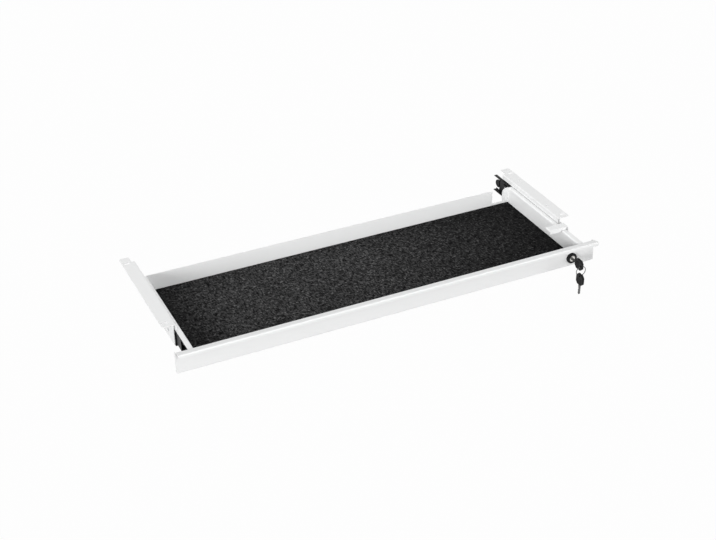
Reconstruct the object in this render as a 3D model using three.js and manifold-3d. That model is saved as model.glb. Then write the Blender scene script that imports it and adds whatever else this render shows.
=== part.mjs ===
import * as THREE from 'three';
import { mergeVertices } from 'three/addons/utils/BufferGeometryUtils.js';
import loadManifold from 'manifold-3d';

// All lengths are millimetres. X runs along the front, Y from front to back, Z up.
// The desk's underside is the plane Z = 0 and X = 0 is the middle of the front.
const frontWidth = 1000;
const deskToFrontBottom = 63;
const originToFrontFace = 226.5;
const frontFaceY = -originToFrontFace;
const frontBottomZ = -deskToFrontBottom;

// Sheets, clearances and general fits
const sheet = 1.2;
const bracketSheet = 1.5;
const tightBend = 0.9;
const seatGap = 0.3;
const turningGap = 0.1;
const cutMargin = 2;
const weldDistance = 1e-5;
const bendSteps = 4;
const roundSides = 24;
const smallSides = 16;
const hexSides = 6;

// Tray: floor and side walls with an outward rim, and a plate at each end
const frontOverhang = 40;
const trayInnerDepth = 308.5;
const floorHeight = 6.4;
const rimTopHeight = 49.4;
const rimReach = 11.3;
const rimBend = 3;
const frontWallAboveNut = 5;
const notchFromWall = 44;
const notchBottomHeight = 15;
const backStripWidth = 16;
const backStripRadius = 11;

// Felt mat
const matThickness = 3;
const matSideGap = 0.4;
const matNutGap = 0.6;
const matBackGap = 1.2;
const matCornerRadius = 2;

// Front panel with its grip lip
const lipTopHeight = 56;
const lipRise = 4.2;
const lipReach = 19.5;
const lipDrop = 8.5;
const lipRootBend = 2;
const lipEdgeBend = 2.6;
const bottomReturnDepth = 10;
const sideReturnDepth = 8;

// Telescopic slides, three members and two ball cages on each side
const railThickness = 12.7;
const railLength = 300;
const railHeight = 40;
const rimToRailGap = 0.7;
const railSheet = 1.2;
const railBend = 1.1;
const outerFlangeDepth = 9;
const outerRaceGap = 3.15;
const innerRaceGap = 4.2;
const memberGap = 1;
const innerFlangeGap = 0.7;
const innerRailFrontGap = 23;
const drawerOpenAtRest = 60;
const cageSheet = 0.6;
const cageSideGap = 0.4;
const cageLength = 110;
const cageEndMargin = 8;
const ballsPerRow = 5;
const ballSides = 6;
const ballRings = 4;
const outerCageDepth = 5.4;
const outerCageSetback = 53;
const outerBallDepth = 3.9;
const innerCageDepth = 5.8;
const innerCageSetback = 25.5;
const innerBallDepth = 3.3;
const railEndCut = 14;
const railEndCutMargin = 1.5;
const middleRailTrim = 15;
const stopThickness = 3.6;
const stopRadius = 9.5;

// Desk brackets
const bracketInnerReach = 3.9;
const bracketOuterReach = 26.1;
const bracketLength = 273;
const bracketSetback = 8;
const leftWebSetback = 6;
const rightPlateSetback = 25;
const rightWebSetback = 4;
const bracketTabLength = 22;
const leftBracketExtra = 6.5;
const bracketTabInset = 8;
const bracketTabRadius = 5;
const bracketFrontRadius = 4;
const bracketLipRimGap = 1.2;
const webBottomInset = 1;
const slotLength = 15;
const slotWidth = 6.4;
const slotFromEdge = 10;
const leftFrontSlotInset = 15;
const leftBackSlotInset = 25.5;
const rightFrontSlotInset = 14;
const rightBackSlotInset = 25;
const frontHoleFromEdge = 18.5;
const frontHoleInset = 63;
const backHoleFromEdge = 9.4;
const backHoleInset = 69;
const roundHoleRadius = 2.4;

// Catch on the right bracket, which the lock's cam turns up behind
const catchClearance = 1;
const catchDepth = 19;
const catchDrop = 6;
const catchInnerReach = 13;
const catchCurlDrop = 3.5;
const catchBend = 1.6;
const catchScrewMargin = 8;
const catchHookReach = 17;
const catchCamOverlap = 6;
const catchApronReach = 10.8;
const catchRimGap = 0.8;
const catchScrewCount = 2;
const catchScrewDrop = 24;
const catchScrewPitch = 14;

// Screws and rivets through the sheets
const screwShankRadius = 1.9;
const screwHeadRadius = 3.8;
const screwHeadHeight = 1.8;
const screwCrownShare = 0.55;
const screwRimShare = 0.5;
const screwSocketRadius = 1.6;
const screwSocketDepth = 1;
const railScrewInset = 38;
const trayScrewInset = 34;

// Cam lock
const lockFromWall = 20;
const lockHeight = 21;
const rosetteRadius = 12.5;
const rosetteProud = 7;
const rosetteChamfer = 1.6;
const lockNeckRadius = 7.2;
const lockNeckProud = 6;
const lockFlangeRadius = 10.5;
const lockFlangeThickness = 2;
const lockBarrelRadius = 9.3;
const lockBarrelLength = 14;
const plugRadius = 6;
const plugProud = 6.5;
const nutHalfFlats = 11;
const nutThickness = 3;
const camThickness = 2;
const camHubRadius = 8;
const camTipRadius = 6.5;
const camLength = 32;
const camShankWidth = 6;
const camScrewHeadRadius = 5.5;
const camScrewHeadHeight = 2.4;
const camScrewShankRadius = 1.5;
const camScrewShankLength = 5;

// Keys and the ring that joins them
const keyHeadLength = 27.5;
const keyHeadWidth = 25;
const keyHeadThickness = 5.5;
const keyHeadChamfer = 6;
const keyHoleRadius = 2.5;
const keyHoleFromEnd = 5;
const keyBladeLength = 26;
const keyBladeWidth = 7;
const keyBladeThickness = 2;
const keyTangLength = 8;
const keyTangGap = 0.1;
const keyTipLength = 3.5;
const keyBitDepthShares = [0.17, 0.29, 0.11, 0.23];
const keyBitStart = 8;
const keyBitPitch = 3.6;
const keyBitRunShare = 0.3;
const keyBitSlopeShare = 2;
const keyStandoff = 12;
const keyRingRadius = 12;
const keyRingWire = 0.8;
const keyRingSides = 36;
const keyWireSides = 8;
const keyHangOffset = 1.1;

// Values that follow from the ones above
const half = sheet / 2;
const bracketHalf = bracketSheet / 2;
const trayFrontY = frontFaceY + sheet;
const trayInnerHalf = frontWidth / 2 - frontOverhang;
const trayBackInnerY = frontFaceY + trayInnerDepth;
const floorBottomZ = frontBottomZ + floorHeight;
const floorTopZ = floorBottomZ + sheet;
const rimTopZ = frontBottomZ + rimTopHeight;
const trayOuterHalf = trayInnerHalf + sheet;
const railBackX = trayOuterHalf + railThickness;
const rimOuterHalf = trayOuterHalf + rimReach;
const railTopZ = rimTopZ - sheet - rimToRailGap;
const railCentreZ = railTopZ - railHeight / 2;
const middleRailHeight = railHeight - (railSheet + outerRaceGap) * 2;
const innerRailHeight = middleRailHeight - (railSheet + innerRaceGap) * 2;
const outerCageInset = railSheet + cageSideGap;
const middleWebInset = outerCageInset + cageSheet + cageSideGap;
const innerCageInset = middleWebInset + railSheet + cageSideGap;
const innerFlangeStart = innerCageInset + cageSheet + innerFlangeGap;
const middleFlangeEnd = railThickness - railSheet - memberGap;
const outerRailY = frontFaceY + innerRailFrontGap + drawerOpenAtRest;
const outerRailEndY = outerRailY + railLength;
const railCutY = outerRailEndY - railEndCut;
const middleRailY = outerRailY - drawerOpenAtRest / 2;
const innerRailY = outerRailY - drawerOpenAtRest;
const bracketOuterX = railBackX + bracketOuterReach;
const bracketInnerX = railBackX - bracketInnerReach;
const webOuterX = railBackX + bracketSheet;
const webBottomZ = railTopZ - railHeight + webBottomInset;
const catchFrontY = frontFaceY + drawerOpenAtRest + bottomReturnDepth + catchClearance;
const bracketFrontY = catchFrontY + bracketSetback;
const bracketBackY = bracketFrontY + bracketLength;
const bracketTabY = bracketBackY + bracketTabLength;
const rightPlateY = bracketFrontY + rightPlateSetback;
const rightWebY = catchFrontY + rightWebSetback;
const lockX = trayInnerHalf - lockFromWall;
const lockZ = frontBottomZ + lockHeight;
const catchInnerX = lockX - catchInnerReach;
const catchLegBottomZ = -catchScrewDrop - catchScrewPitch * (catchScrewCount - 1) - catchScrewMargin;
const nutBackY = frontFaceY + sheet * 2 + nutThickness;
const camFrontY = frontFaceY + lockBarrelLength + seatGap;
const camBackY = camFrontY + camThickness;
const screwHoleRadius = screwShankRadius + seatGap;
const lockHoleRadius = lockBarrelRadius + seatGap;
const keyEndY = frontFaceY - rosetteProud - keyStandoff - keyHeadLength;
const ringY = keyEndY + keyHoleFromEnd;
const ringTopZ = lockZ - keyHangOffset;
const ringBottomZ = ringTopZ - keyRingRadius * 2;
const spareHoleZ = ringBottomZ - keyHangOffset;
const spareEndZ = spareHoleZ + keyHoleFromEnd;

const whiteCoat = { color: 0xe8e8e7, roughness: 0.5, metalness: 0 };
const blackSteel = { color: 0x141415, roughness: 0.4, metalness: 0.6 };
const brightSteel = { color: 0xb4b4b2, roughness: 0.3, metalness: 1 };
const blackPlastic = { color: 0x121213, roughness: 0.45, metalness: 0 };
const blackFelt = { color: 0x17171a, roughness: 0.95, metalness: 0 };

const manifold = await loadManifold();
manifold.setup();

// Turns a three.js geometry into a solid that can be joined and cut
function solid(geometry) {
  const bare = geometry.clone();
  bare.deleteAttribute('normal');
  bare.deleteAttribute('uv');
  const welded = mergeVertices(bare, weldDistance);
  const corners = welded.index.array;
  const kept = [];
  for (let i = 0; i < corners.length; i += 3) {
    const [a, b, c] = corners.slice(i, i + 3);
    if (a !== b && b !== c && c !== a) {
      kept.push(a, b, c);
    }
  }
  return new manifold.Manifold(new manifold.Mesh({
    numProp: 3,
    vertProperties: new Float32Array(welded.attributes.position.array),
    triVerts: new Uint32Array(kept),
  }));
}

// Cuts every solid in the list from the first one
function cut(body, cutters) {
  return cutters.reduce((rest, cutter) => rest.subtract(cutter), body);
}

// Joins every solid in the list to the first one
function join(body, others) {
  return others.reduce((sum, other) => sum.add(other), body);
}

function shapeOf(points) {
  return new THREE.Shape(points.map(([u, v]) => new THREE.Vector2(u, v)));
}

function extruded(points, depth) {
  return new THREE.ExtrudeGeometry(shapeOf(points), { depth, bevelEnabled: false });
}

// A profile of X and Z points, run from one Y to another
function alongY(points, fromY, toY) {
  const geometry = extruded(points, toY - fromY);
  geometry.rotateX(Math.PI / 2);
  geometry.translate(0, toY, 0);
  return solid(geometry);
}

// A profile of Y and Z points, run between two X positions in either order
function alongX(points, oneX, otherX) {
  const geometry = extruded(points, Math.abs(otherX - oneX));
  const yAxis = new THREE.Vector3(0, 1, 0);
  const zAxis = new THREE.Vector3(0, 0, 1);
  const xAxis = new THREE.Vector3(1, 0, 0);
  geometry.applyMatrix4(new THREE.Matrix4().makeBasis(yAxis, zAxis, xAxis));
  geometry.translate(Math.min(oneX, otherX), 0, 0);
  return solid(geometry);
}

// A profile of X and Y points, run from one Z up to another
function alongZ(points, fromZ, toZ) {
  const geometry = extruded(points, toZ - fromZ);
  geometry.translate(0, 0, fromZ);
  return solid(geometry);
}

function rectangle(u0, v0, u1, v1) {
  return [[u0, v0], [u1, v0], [u1, v1], [u0, v1]];
}

function box(x0, y0, z0, x1, y1, z1) {
  return alongZ(rectangle(Math.min(x0, x1), y0, Math.max(x0, x1), y1), z0, z1);
}

// Points of an arc around a centre, from one angle to another
function arc(u, v, radius, from, to, steps) {
  const points = [];
  for (let i = 0; i <= steps; i += 1) {
    const angle = from + ((to - from) * i) / steps;
    points.push([u + radius * Math.cos(angle), v + radius * Math.sin(angle)]);
  }
  return points;
}

function circle(u, v, radius, sides) {
  return arc(u, v, radius, 0, Math.PI * 2, sides).slice(0, sides);
}

// Rectangle with its four corners rounded
function roundedRectangle(u0, v0, u1, v1, radius) {
  const quarter = Math.PI / 2;
  return [
    ...arc(u1 - radius, v1 - radius, radius, 0, quarter, bendSteps),
    ...arc(u0 + radius, v1 - radius, radius, quarter, quarter * 2, bendSteps),
    ...arc(u0 + radius, v0 + radius, radius, quarter * 2, quarter * 3, bendSteps),
    ...arc(u1 - radius, v0 + radius, radius, quarter * 3, quarter * 4, bendSteps),
  ];
}

// Middle line of a bent sheet: each corner [u, v, radius] becomes an arc of that radius
function bentLine(path) {
  const line = [];
  path.forEach(([u, v, radius], i) => {
    const before = path[Math.max(i - 1, 0)];
    const after = path[Math.min(i + 1, path.length - 1)];
    const inward = Math.atan2(v - before[1], u - before[0]);
    const outward = Math.atan2(after[1] - v, after[0] - u);
    if (i === 0 || i === path.length - 1) {
      line.push({ u, v, heading: i === 0 ? outward : inward });
      return;
    }
    let turn = outward - inward;
    turn -= Math.PI * 2 * Math.round(turn / (Math.PI * 2));
    const side = Math.sign(turn);
    const run = radius * Math.tan(Math.abs(turn) / 2);
    const startU = u - run * Math.cos(inward);
    const startV = v - run * Math.sin(inward);
    const centreU = startU - side * radius * Math.sin(inward);
    const centreV = startV + side * radius * Math.cos(inward);
    for (let k = 0; k <= bendSteps; k += 1) {
      const heading = inward + (turn * k) / bendSteps;
      line.push({
        u: centreU + side * radius * Math.sin(heading),
        v: centreV - side * radius * Math.cos(heading),
        heading,
      });
    }
  });
  return line;
}

// Outline of a sheet of the given thickness bent along a path
function bentSheet(path, thickness) {
  const line = bentLine(path);
  const offset = (point, distance) => [
    point.u - Math.sin(point.heading) * distance,
    point.v + Math.cos(point.heading) * distance,
  ];
  const left = line.map((point) => offset(point, thickness / 2));
  const right = line.map((point) => offset(point, -thickness / 2));
  return [...left, ...right.reverse()];
}

// A profile of radius and height turned around the Y axis
function turned(profile, sides) {
  const points = profile.map(([radius, along]) => new THREE.Vector2(radius, along));
  return new THREE.LatheGeometry(points, sides);
}

function meshOf(name, body, finish) {
  const { vertProperties, triVerts, numProp } = body.getMesh();
  const geometry = new THREE.BufferGeometry();
  const positions = new Float32Array((vertProperties.length / numProp) * 3);
  for (let i = 0; i < positions.length / 3; i += 1) {
    positions.set(vertProperties.slice(i * numProp, i * numProp + 3), i * 3);
  }
  geometry.setAttribute('position', new THREE.BufferAttribute(positions, 3));
  geometry.setIndex(new THREE.BufferAttribute(new Uint32Array(triVerts), 1));
  geometry.computeVertexNormals();
  const mesh = new THREE.Mesh(geometry, new THREE.MeshStandardMaterial(finish));
  mesh.name = name;
  return mesh;
}

// Y positions of the two screws that hold a rail
function screwRow(railY, inset) {
  return [railY + inset, railY + railLength - inset];
}

function crossHoles(rowY, z, fromX, toX) {
  return rowY.map((y) => alongX(circle(y, z, screwHoleRadius, smallSides), fromX, toX));
}

// Tray
function trayShell() {
  const wall = trayInnerHalf + half;
  const rim = rimTopZ - half;
  const floor = floorBottomZ + half;
  const profile = bentSheet([
    [-rimOuterHalf, rim],
    [-wall, rim, rimBend],
    [-wall, floor, tightBend],
    [wall, floor, tightBend],
    [wall, rim, rimBend],
    [rimOuterHalf, rim],
  ], sheet);
  return alongY(profile, trayFrontY + sheet, trayBackInnerY);
}

function lockHole(backY) {
  return alongY(circle(lockX, lockZ, lockHoleRadius, roundSides), frontFaceY - cutMargin, backY);
}

function tray() {
  const row = screwRow(innerRailY, trayScrewInset);
  const reach = trayOuterHalf + cutMargin;
  const inside = trayInnerHalf - cutMargin;
  const body = cut(trayShell(), [
    ...crossHoles(row, railCentreZ, inside, reach),
    ...crossHoles(row, railCentreZ, -reach, -inside),
  ]);
  return meshOf('tray', body, whiteCoat);
}

// Plate welded to the tray's back end, with a deep notch for a cable near its right end
function trayBack() {
  const quarter = Math.PI / 2;
  const radius = backStripRadius;
  const stripX = trayInnerHalf - backStripWidth;
  const notchX = trayInnerHalf - notchFromWall;
  const notchZ = frontBottomZ + notchBottomHeight;
  const outline = [
    [-trayOuterHalf, floorBottomZ],
    [trayOuterHalf, floorBottomZ],
    [trayOuterHalf, rimTopZ],
    ...arc(stripX + radius, rimTopZ - radius, radius, quarter, quarter * 2, bendSteps),
    [stripX, notchZ],
    [notchX, notchZ],
    [notchX, rimTopZ],
    [-trayOuterHalf, rimTopZ],
  ];
  return meshOf('tray_back', alongY(outline, trayBackInnerY, trayBackInnerY + sheet), whiteCoat);
}

// Plate welded to the tray's front end, behind the front panel
function trayFront() {
  const topZ = lockZ + nutHalfFlats + frontWallAboveNut;
  const outline = rectangle(-trayOuterHalf, floorBottomZ, trayOuterHalf, topZ);
  const plate = alongY(outline, trayFrontY, trayFrontY + sheet);
  return meshOf('tray_front', cut(plate, [lockHole(trayFrontY + sheet + cutMargin)]), whiteCoat);
}

function mat() {
  const halfWidth = trayInnerHalf - matSideGap;
  const outline = roundedRectangle(
    -halfWidth,
    nutBackY + matNutGap,
    halfWidth,
    trayBackInnerY - matBackGap,
    matCornerRadius,
  );
  return meshOf('mat', alongZ(outline, floorTopZ, floorTopZ + matThickness), blackFelt);
}

// Front panel
function frontPanel() {
  const faceY = frontFaceY + half;
  const bottomZ = frontBottomZ + half;
  const lipZ = frontBottomZ + lipTopHeight - half;
  const lipY = frontFaceY - lipReach + half;
  const profile = bentSheet([
    [frontFaceY + bottomReturnDepth, bottomZ],
    [faceY, bottomZ, tightBend],
    [faceY, lipZ - lipRise, lipRootBend],
    [lipY, lipZ, lipEdgeBend],
    [lipY, frontBottomZ + lipTopHeight - lipDrop],
  ], sheet);
  const face = alongX(profile, -frontWidth / 2, frontWidth / 2);
  const returnTopZ = lipZ - lipRise - lipRootBend;
  const sides = [-1, 1].map((side) => box(
    side * (frontWidth / 2),
    faceY,
    bottomZ,
    side * (frontWidth / 2 - sheet),
    frontFaceY + sideReturnDepth,
    returnTopZ,
  ));
  const body = join(face, sides);
  return meshOf('front_panel', cut(body, [lockHole(trayFrontY + cutMargin)]), whiteCoat);
}

// One member of a slide: a channel whose web and flange ends are distances from the bracket
function channel(side, section, fromY, length) {
  const { height, webInset, flangeEnd, thickness } = section;
  const sign = Math.sign(flangeEnd - webInset);
  const x = (inset) => side * (railBackX - inset);
  const middle = height / 2 - thickness / 2;
  const web = webInset + (sign * thickness) / 2;
  const profile = bentSheet([
    [x(flangeEnd), railCentreZ + middle],
    [x(web), railCentreZ + middle, railBend],
    [x(web), railCentreZ - middle, railBend],
    [x(flangeEnd), railCentreZ - middle],
  ], thickness);
  return alongY(profile, fromY, fromY + length);
}

function outerRail(side, label) {
  const section = { height: railHeight, webInset: 0, flangeEnd: outerFlangeDepth, thickness: railSheet };
  const body = channel(side, section, outerRailY, railLength);
  const row = screwRow(outerRailY, railScrewInset);
  const deep = railBackX - railSheet - cutMargin;
  const holes = crossHoles(row, railCentreZ, side * deep, side * (railBackX + cutMargin));
  const cutHalf = railHeight / 2 - railSheet - railBend - railEndCutMargin;
  const endCut = box(
    side * deep,
    railCutY,
    railCentreZ - cutHalf,
    side * (railBackX + cutMargin),
    outerRailEndY + cutMargin,
    railCentreZ + cutHalf,
  );
  return meshOf(`${label}_outer_rail`, cut(body, [...holes, endCut]), blackSteel);
}

// Rubber stop in the cut at an outer rail's back end, which the middle rail meets
function railStop(side, label) {
  const quarter = Math.PI / 2;
  const roundY = outerRailEndY - stopRadius - turningGap;
  const outline = [
    [railCutY, railCentreZ - stopRadius],
    ...arc(roundY, railCentreZ, stopRadius, -quarter, quarter, bendSteps * 2),
    [railCutY, railCentreZ + stopRadius],
  ];
  const body = alongX(outline, side * (railBackX - stopThickness), side * railBackX);
  return meshOf(`${label}_rail_stop`, body, blackPlastic);
}

function middleRail(side, label) {
  const section = {
    height: middleRailHeight,
    webInset: middleWebInset,
    flangeEnd: middleFlangeEnd,
    thickness: railSheet,
  };
  const body = channel(side, section, middleRailY, railLength - middleRailTrim);
  return meshOf(`${label}_middle_rail`, body, blackSteel);
}

function innerRail(side, label) {
  const section = {
    height: innerRailHeight,
    webInset: railThickness,
    flangeEnd: innerFlangeStart,
    thickness: railSheet,
  };
  const body = channel(side, section, innerRailY, railLength);
  const row = screwRow(innerRailY, trayScrewInset);
  const deep = trayOuterHalf + railSheet + cutMargin;
  const holes = crossHoles(row, railCentreZ, side * (trayOuterHalf - cutMargin), side * deep);
  return meshOf(`${label}_inner_rail`, cut(body, holes), blackSteel);
}

// Ball cage between two members, with a row of balls above and below
function ballCage(side, name, race, startY) {
  const { webInset, flangeEnd, ballInset, outsideHeight, insideHeight } = race;
  const raceOut = outsideHeight / 2 - railSheet;
  const raceIn = insideHeight / 2;
  const ballRadius = (raceOut - raceIn) / 2 - seatGap;
  const ballOffset = (raceOut + raceIn) / 2;
  const height = ballOffset * 2 + cageSheet;
  const section = { height, webInset, flangeEnd, thickness: cageSheet };
  const cage = channel(side, section, startY, cageLength);
  const pitch = (cageLength - cageEndMargin * 2) / (ballsPerRow - 1);
  const balls = [];
  for (const row of [-1, 1]) {
    for (let i = 0; i < ballsPerRow; i += 1) {
      const ball = new THREE.SphereGeometry(ballRadius, ballSides, ballRings);
      const ballY = startY + cageEndMargin + pitch * i;
      ball.translate(side * (railBackX - ballInset), ballY, railCentreZ + row * ballOffset);
      balls.push(solid(ball));
    }
  }
  return meshOf(name, join(cage, balls), brightSteel);
}

function outerCage(side, label) {
  const race = {
    webInset: outerCageInset,
    flangeEnd: outerCageInset + outerCageDepth,
    ballInset: outerCageInset + outerBallDepth,
    outsideHeight: railHeight,
    insideHeight: middleRailHeight,
  };
  return ballCage(side, `${label}_outer_cage`, race, outerRailY + outerCageSetback);
}

function innerCage(side, label) {
  const race = {
    webInset: innerCageInset,
    flangeEnd: innerCageInset + innerCageDepth,
    ballInset: innerCageInset + innerBallDepth,
    outsideHeight: middleRailHeight,
    insideHeight: innerRailHeight,
  };
  return ballCage(side, `${label}_inner_cage`, race, outerRailY + innerCageSetback);
}

// Crowned screw with a hexagon socket, its head seated at headX and facing along side
function screw(name, side, headX, y, z, shankLength) {
  const crown = screwHeadRadius * screwCrownShare;
  const profile = [
    [0, -shankLength],
    [screwShankRadius, -shankLength],
    [screwShankRadius, 0],
    [screwHeadRadius, 0],
    [screwHeadRadius, screwHeadHeight * screwRimShare],
    [crown, screwHeadHeight],
    [0, screwHeadHeight],
  ];
  const geometry = turned(profile, smallSides);
  geometry.rotateZ((-side * Math.PI) / 2);
  geometry.translate(side * headX, y, z);
  const topX = headX + screwHeadHeight;
  const socket = circle(y, z, screwSocketRadius, hexSides);
  const cutter = alongX(socket, side * (topX - screwSocketDepth), side * (topX + cutMargin));
  return meshOf(name, cut(solid(geometry), [cutter]), brightSteel);
}

// Screws from outside a bracket's web into the outer rail
function railScrews(side, label) {
  const length = bracketSheet + railSheet;
  return screwRow(outerRailY, railScrewInset).map((y, i) => (
    screw(`${label}_rail_screw_${i + 1}`, side, webOuterX, y, railCentreZ, length)
  ));
}

// Screws from the inner rail's channel into the tray's side wall
function trayScrews(side, label) {
  const length = railSheet + sheet;
  return screwRow(innerRailY, trayScrewInset).map((y, i) => (
    screw(`${label}_tray_screw_${i + 1}`, side, trayOuterHalf + railSheet, y, railCentreZ, length)
  ));
}

// Brackets
function bracketPlan(side, plateY, extra) {
  const backY = bracketBackY + extra;
  const tabY = bracketTabY + extra;
  const quarter = Math.PI / 2;
  const inner = bracketInnerX;
  const tabInner = bracketInnerX + bracketTabInset;
  const outer = bracketOuterX;
  const front = bracketFrontRadius;
  const back = bracketTabRadius;
  const outline = [
    [inner, plateY],
    ...arc(outer - front, plateY + front, front, -quarter, 0, bendSteps),
    ...arc(outer - back, tabY - back, back, 0, quarter, bendSteps),
    [tabInner, tabY],
    [tabInner, backY],
    [inner, backY],
  ];
  return outline.map(([x, y]) => [side * x, y]);
}

function bracketPlate(side, plateY, extra) {
  const profile = bentSheet([
    [bracketOuterX, -bracketHalf],
    [bracketInnerX + bracketHalf, -bracketHalf, bracketSheet],
    [bracketInnerX + bracketHalf, rimTopZ + bracketLipRimGap],
  ], bracketSheet).map(([x, z]) => [side * x, z]);
  const plan = alongZ(bracketPlan(side, plateY, extra), webBottomZ, cutMargin);
  return alongY(profile, plateY - cutMargin, bracketTabY + extra + cutMargin).intersect(plan);
}

function bracketSlot(side, y) {
  const x = side * (bracketOuterX - slotFromEdge);
  const reach = slotLength / 2;
  const radius = slotWidth / 2;
  const outline = [
    ...arc(x + reach - radius, y, radius, -Math.PI / 2, Math.PI / 2, bendSteps * 2),
    ...arc(x - reach + radius, y, radius, Math.PI / 2, (Math.PI * 3) / 2, bendSteps * 2),
  ];
  return alongZ(outline, -bracketSheet - cutMargin, cutMargin);
}

function bracketWeb(side, webY, extra) {
  const backY = bracketBackY + extra;
  return box(side * railBackX, webY, webBottomZ, side * webOuterX, backY, -bracketHalf);
}

// The stretch of web that passes under the catch
function webUnderCatch() {
  const topZ = -catchDrop - bracketSheet - catchBend;
  return box(railBackX, rightWebY, webBottomZ, webOuterX, rightPlateY + cutMargin, topZ);
}

function bracketScrewHoles(side) {
  const row = screwRow(outerRailY, railScrewInset);
  return crossHoles(row, railCentreZ, side * (railBackX - cutMargin), side * (webOuterX + cutMargin));
}

function leftBracket() {
  const side = -1;
  const web = bracketWeb(side, bracketFrontY + leftWebSetback, leftBracketExtra);
  const body = join(bracketPlate(side, bracketFrontY, leftBracketExtra), [web]);
  const slots = [
    bracketSlot(side, bracketFrontY + leftFrontSlotInset),
    bracketSlot(side, bracketTabY + leftBracketExtra - leftBackSlotInset),
  ];
  return meshOf('left_bracket', cut(body, [...slots, ...bracketScrewHoles(side)]), whiteCoat);
}

// Heights of the screws that hold the catch to the bracket's web
function catchScrewHeights() {
  return Array.from({ length: catchScrewCount }, (_, i) => -catchScrewDrop - catchScrewPitch * i);
}

function catchHoles() {
  const y = catchFrontY + catchDepth / 2;
  const reach = webOuterX + bracketSheet + cutMargin;
  return catchScrewHeights().map((z) => (
    alongX(circle(y, z, screwHoleRadius, smallSides), railBackX - cutMargin, reach)
  ));
}

function rightBracket() {
  const side = 1;
  const web = bracketWeb(side, rightPlateY, 0);
  const body = join(bracketPlate(side, rightPlateY, 0), [web, webUnderCatch()]);
  const slots = [
    bracketSlot(side, rightPlateY + rightFrontSlotInset),
    bracketSlot(side, bracketTabY - rightBackSlotInset),
  ];
  const holes = [
    [bracketOuterX - frontHoleFromEdge, rightPlateY + frontHoleInset],
    [bracketOuterX - backHoleFromEdge, bracketTabY - backHoleInset],
  ].map(([x, y]) => alongZ(
    circle(x, y, roundHoleRadius, smallSides),
    -bracketSheet - cutMargin,
    cutMargin,
  ));
  const cutters = [...slots, ...holes, ...bracketScrewHoles(side), ...catchHoles()];
  return meshOf('right_bracket', cut(body, cutters), whiteCoat);
}

// Catch: a bent strap over the tray's rim with a hook that hangs inside the tray
function lockCatch() {
  const plateZ = -catchDrop - bracketHalf;
  const legX = webOuterX + bracketHalf;
  const strap = alongY(bentSheet([
    [catchInnerX + bracketHalf, -catchDrop - catchCurlDrop],
    [catchInnerX + bracketHalf, plateZ, catchBend],
    [legX, plateZ, catchBend],
    [legX, catchLegBottomZ],
  ], bracketSheet), catchFrontY, catchFrontY + catchDepth);
  const hookInnerX = catchInnerX + catchBend;
  const hookOuterX = lockX + catchHookReach;
  const hookZ = lockZ + camLength - catchCamOverlap;
  const apronX = trayOuterHalf + catchApronReach;
  const apronZ = rimTopZ + catchRimGap;
  const hook = alongY([
    [hookInnerX, plateZ],
    [hookInnerX, hookZ],
    [hookOuterX, hookZ],
    [hookOuterX, apronZ],
    [apronX, apronZ],
    [apronX, plateZ],
  ], catchFrontY, catchFrontY + bracketSheet);
  return meshOf('lock_catch', cut(join(strap, [hook]), catchHoles()), whiteCoat);
}

function catchScrews() {
  const y = catchFrontY + catchDepth / 2;
  const headX = webOuterX + bracketSheet;
  return catchScrewHeights().map((z, i) => (
    screw(`catch_screw_${i + 1}`, 1, headX, y, z, bracketSheet * 2)
  ));
}

// Lock
function lockDisc(radius, fromDepth, toDepth) {
  return alongY(circle(lockX, lockZ, radius, roundSides), frontFaceY + fromDepth, frontFaceY + toDepth);
}

function lockRosette() {
  const seat = lockFlangeThickness;
  const outer = rosetteRadius;
  const bore = lockNeckRadius + seatGap;
  const recess = lockFlangeRadius + seatGap;
  const geometry = turned([
    [recess, 0],
    [outer, 0],
    [outer, -rosetteProud + rosetteChamfer],
    [outer - rosetteChamfer / 2, -rosetteProud + rosetteChamfer / 2],
    [outer - rosetteChamfer, -rosetteProud],
    [bore, -rosetteProud],
    [bore, -seat],
    [recess, -seat],
    [recess, 0],
  ].reverse(), roundSides);
  geometry.translate(lockX, frontFaceY, lockZ);
  return meshOf('lock_rosette', solid(geometry), blackPlastic);
}

function lockBody() {
  const barrel = lockDisc(lockBarrelRadius, 0, lockBarrelLength);
  const flange = lockDisc(lockFlangeRadius, -lockFlangeThickness, 0);
  const neck = lockDisc(lockNeckRadius, -lockNeckProud, -lockFlangeThickness);
  const bore = lockDisc(plugRadius + turningGap, -lockNeckProud - cutMargin, lockBarrelLength + cutMargin);
  return meshOf('lock_body', cut(join(barrel, [flange, neck]), [bore]), brightSteel);
}

function lockNut() {
  const corner = nutHalfFlats / Math.cos(Math.PI / hexSides);
  const hexagon = circle(lockX, lockZ, corner, hexSides);
  const body = alongY(hexagon, nutBackY - nutThickness, nutBackY);
  return meshOf('lock_nut', cut(body, [lockDisc(lockHoleRadius, 0, lockBarrelLength)]), brightSteel);
}

function lockPlug() {
  const rear = lockBarrelLength + seatGap;
  const round = lockDisc(plugRadius, -plugProud, rear);
  const shankHalf = camShankWidth / 2;
  const shank = alongY(
    rectangle(lockX - shankHalf, lockZ - shankHalf, lockX + shankHalf, lockZ + shankHalf),
    camFrontY - seatGap,
    camBackY,
  );
  const slotHalfX = keyBladeThickness / 2 + seatGap;
  const slotHalfZ = keyBladeWidth / 2 + seatGap;
  const keyway = alongY(
    rectangle(lockX - slotHalfX, lockZ - slotHalfZ, lockX + slotHalfX, lockZ + slotHalfZ),
    frontFaceY - plugProud - cutMargin,
    keyEndY + keyHeadLength + keyBladeLength + seatGap,
  );
  const threadHole = alongY(
    circle(lockX, lockZ, camScrewShankRadius + seatGap, smallSides),
    camBackY - camScrewShankLength - seatGap,
    camBackY + cutMargin,
  );
  return meshOf('lock_plug', cut(join(round, [shank]), [keyway, threadHole]), brightSteel);
}

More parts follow.
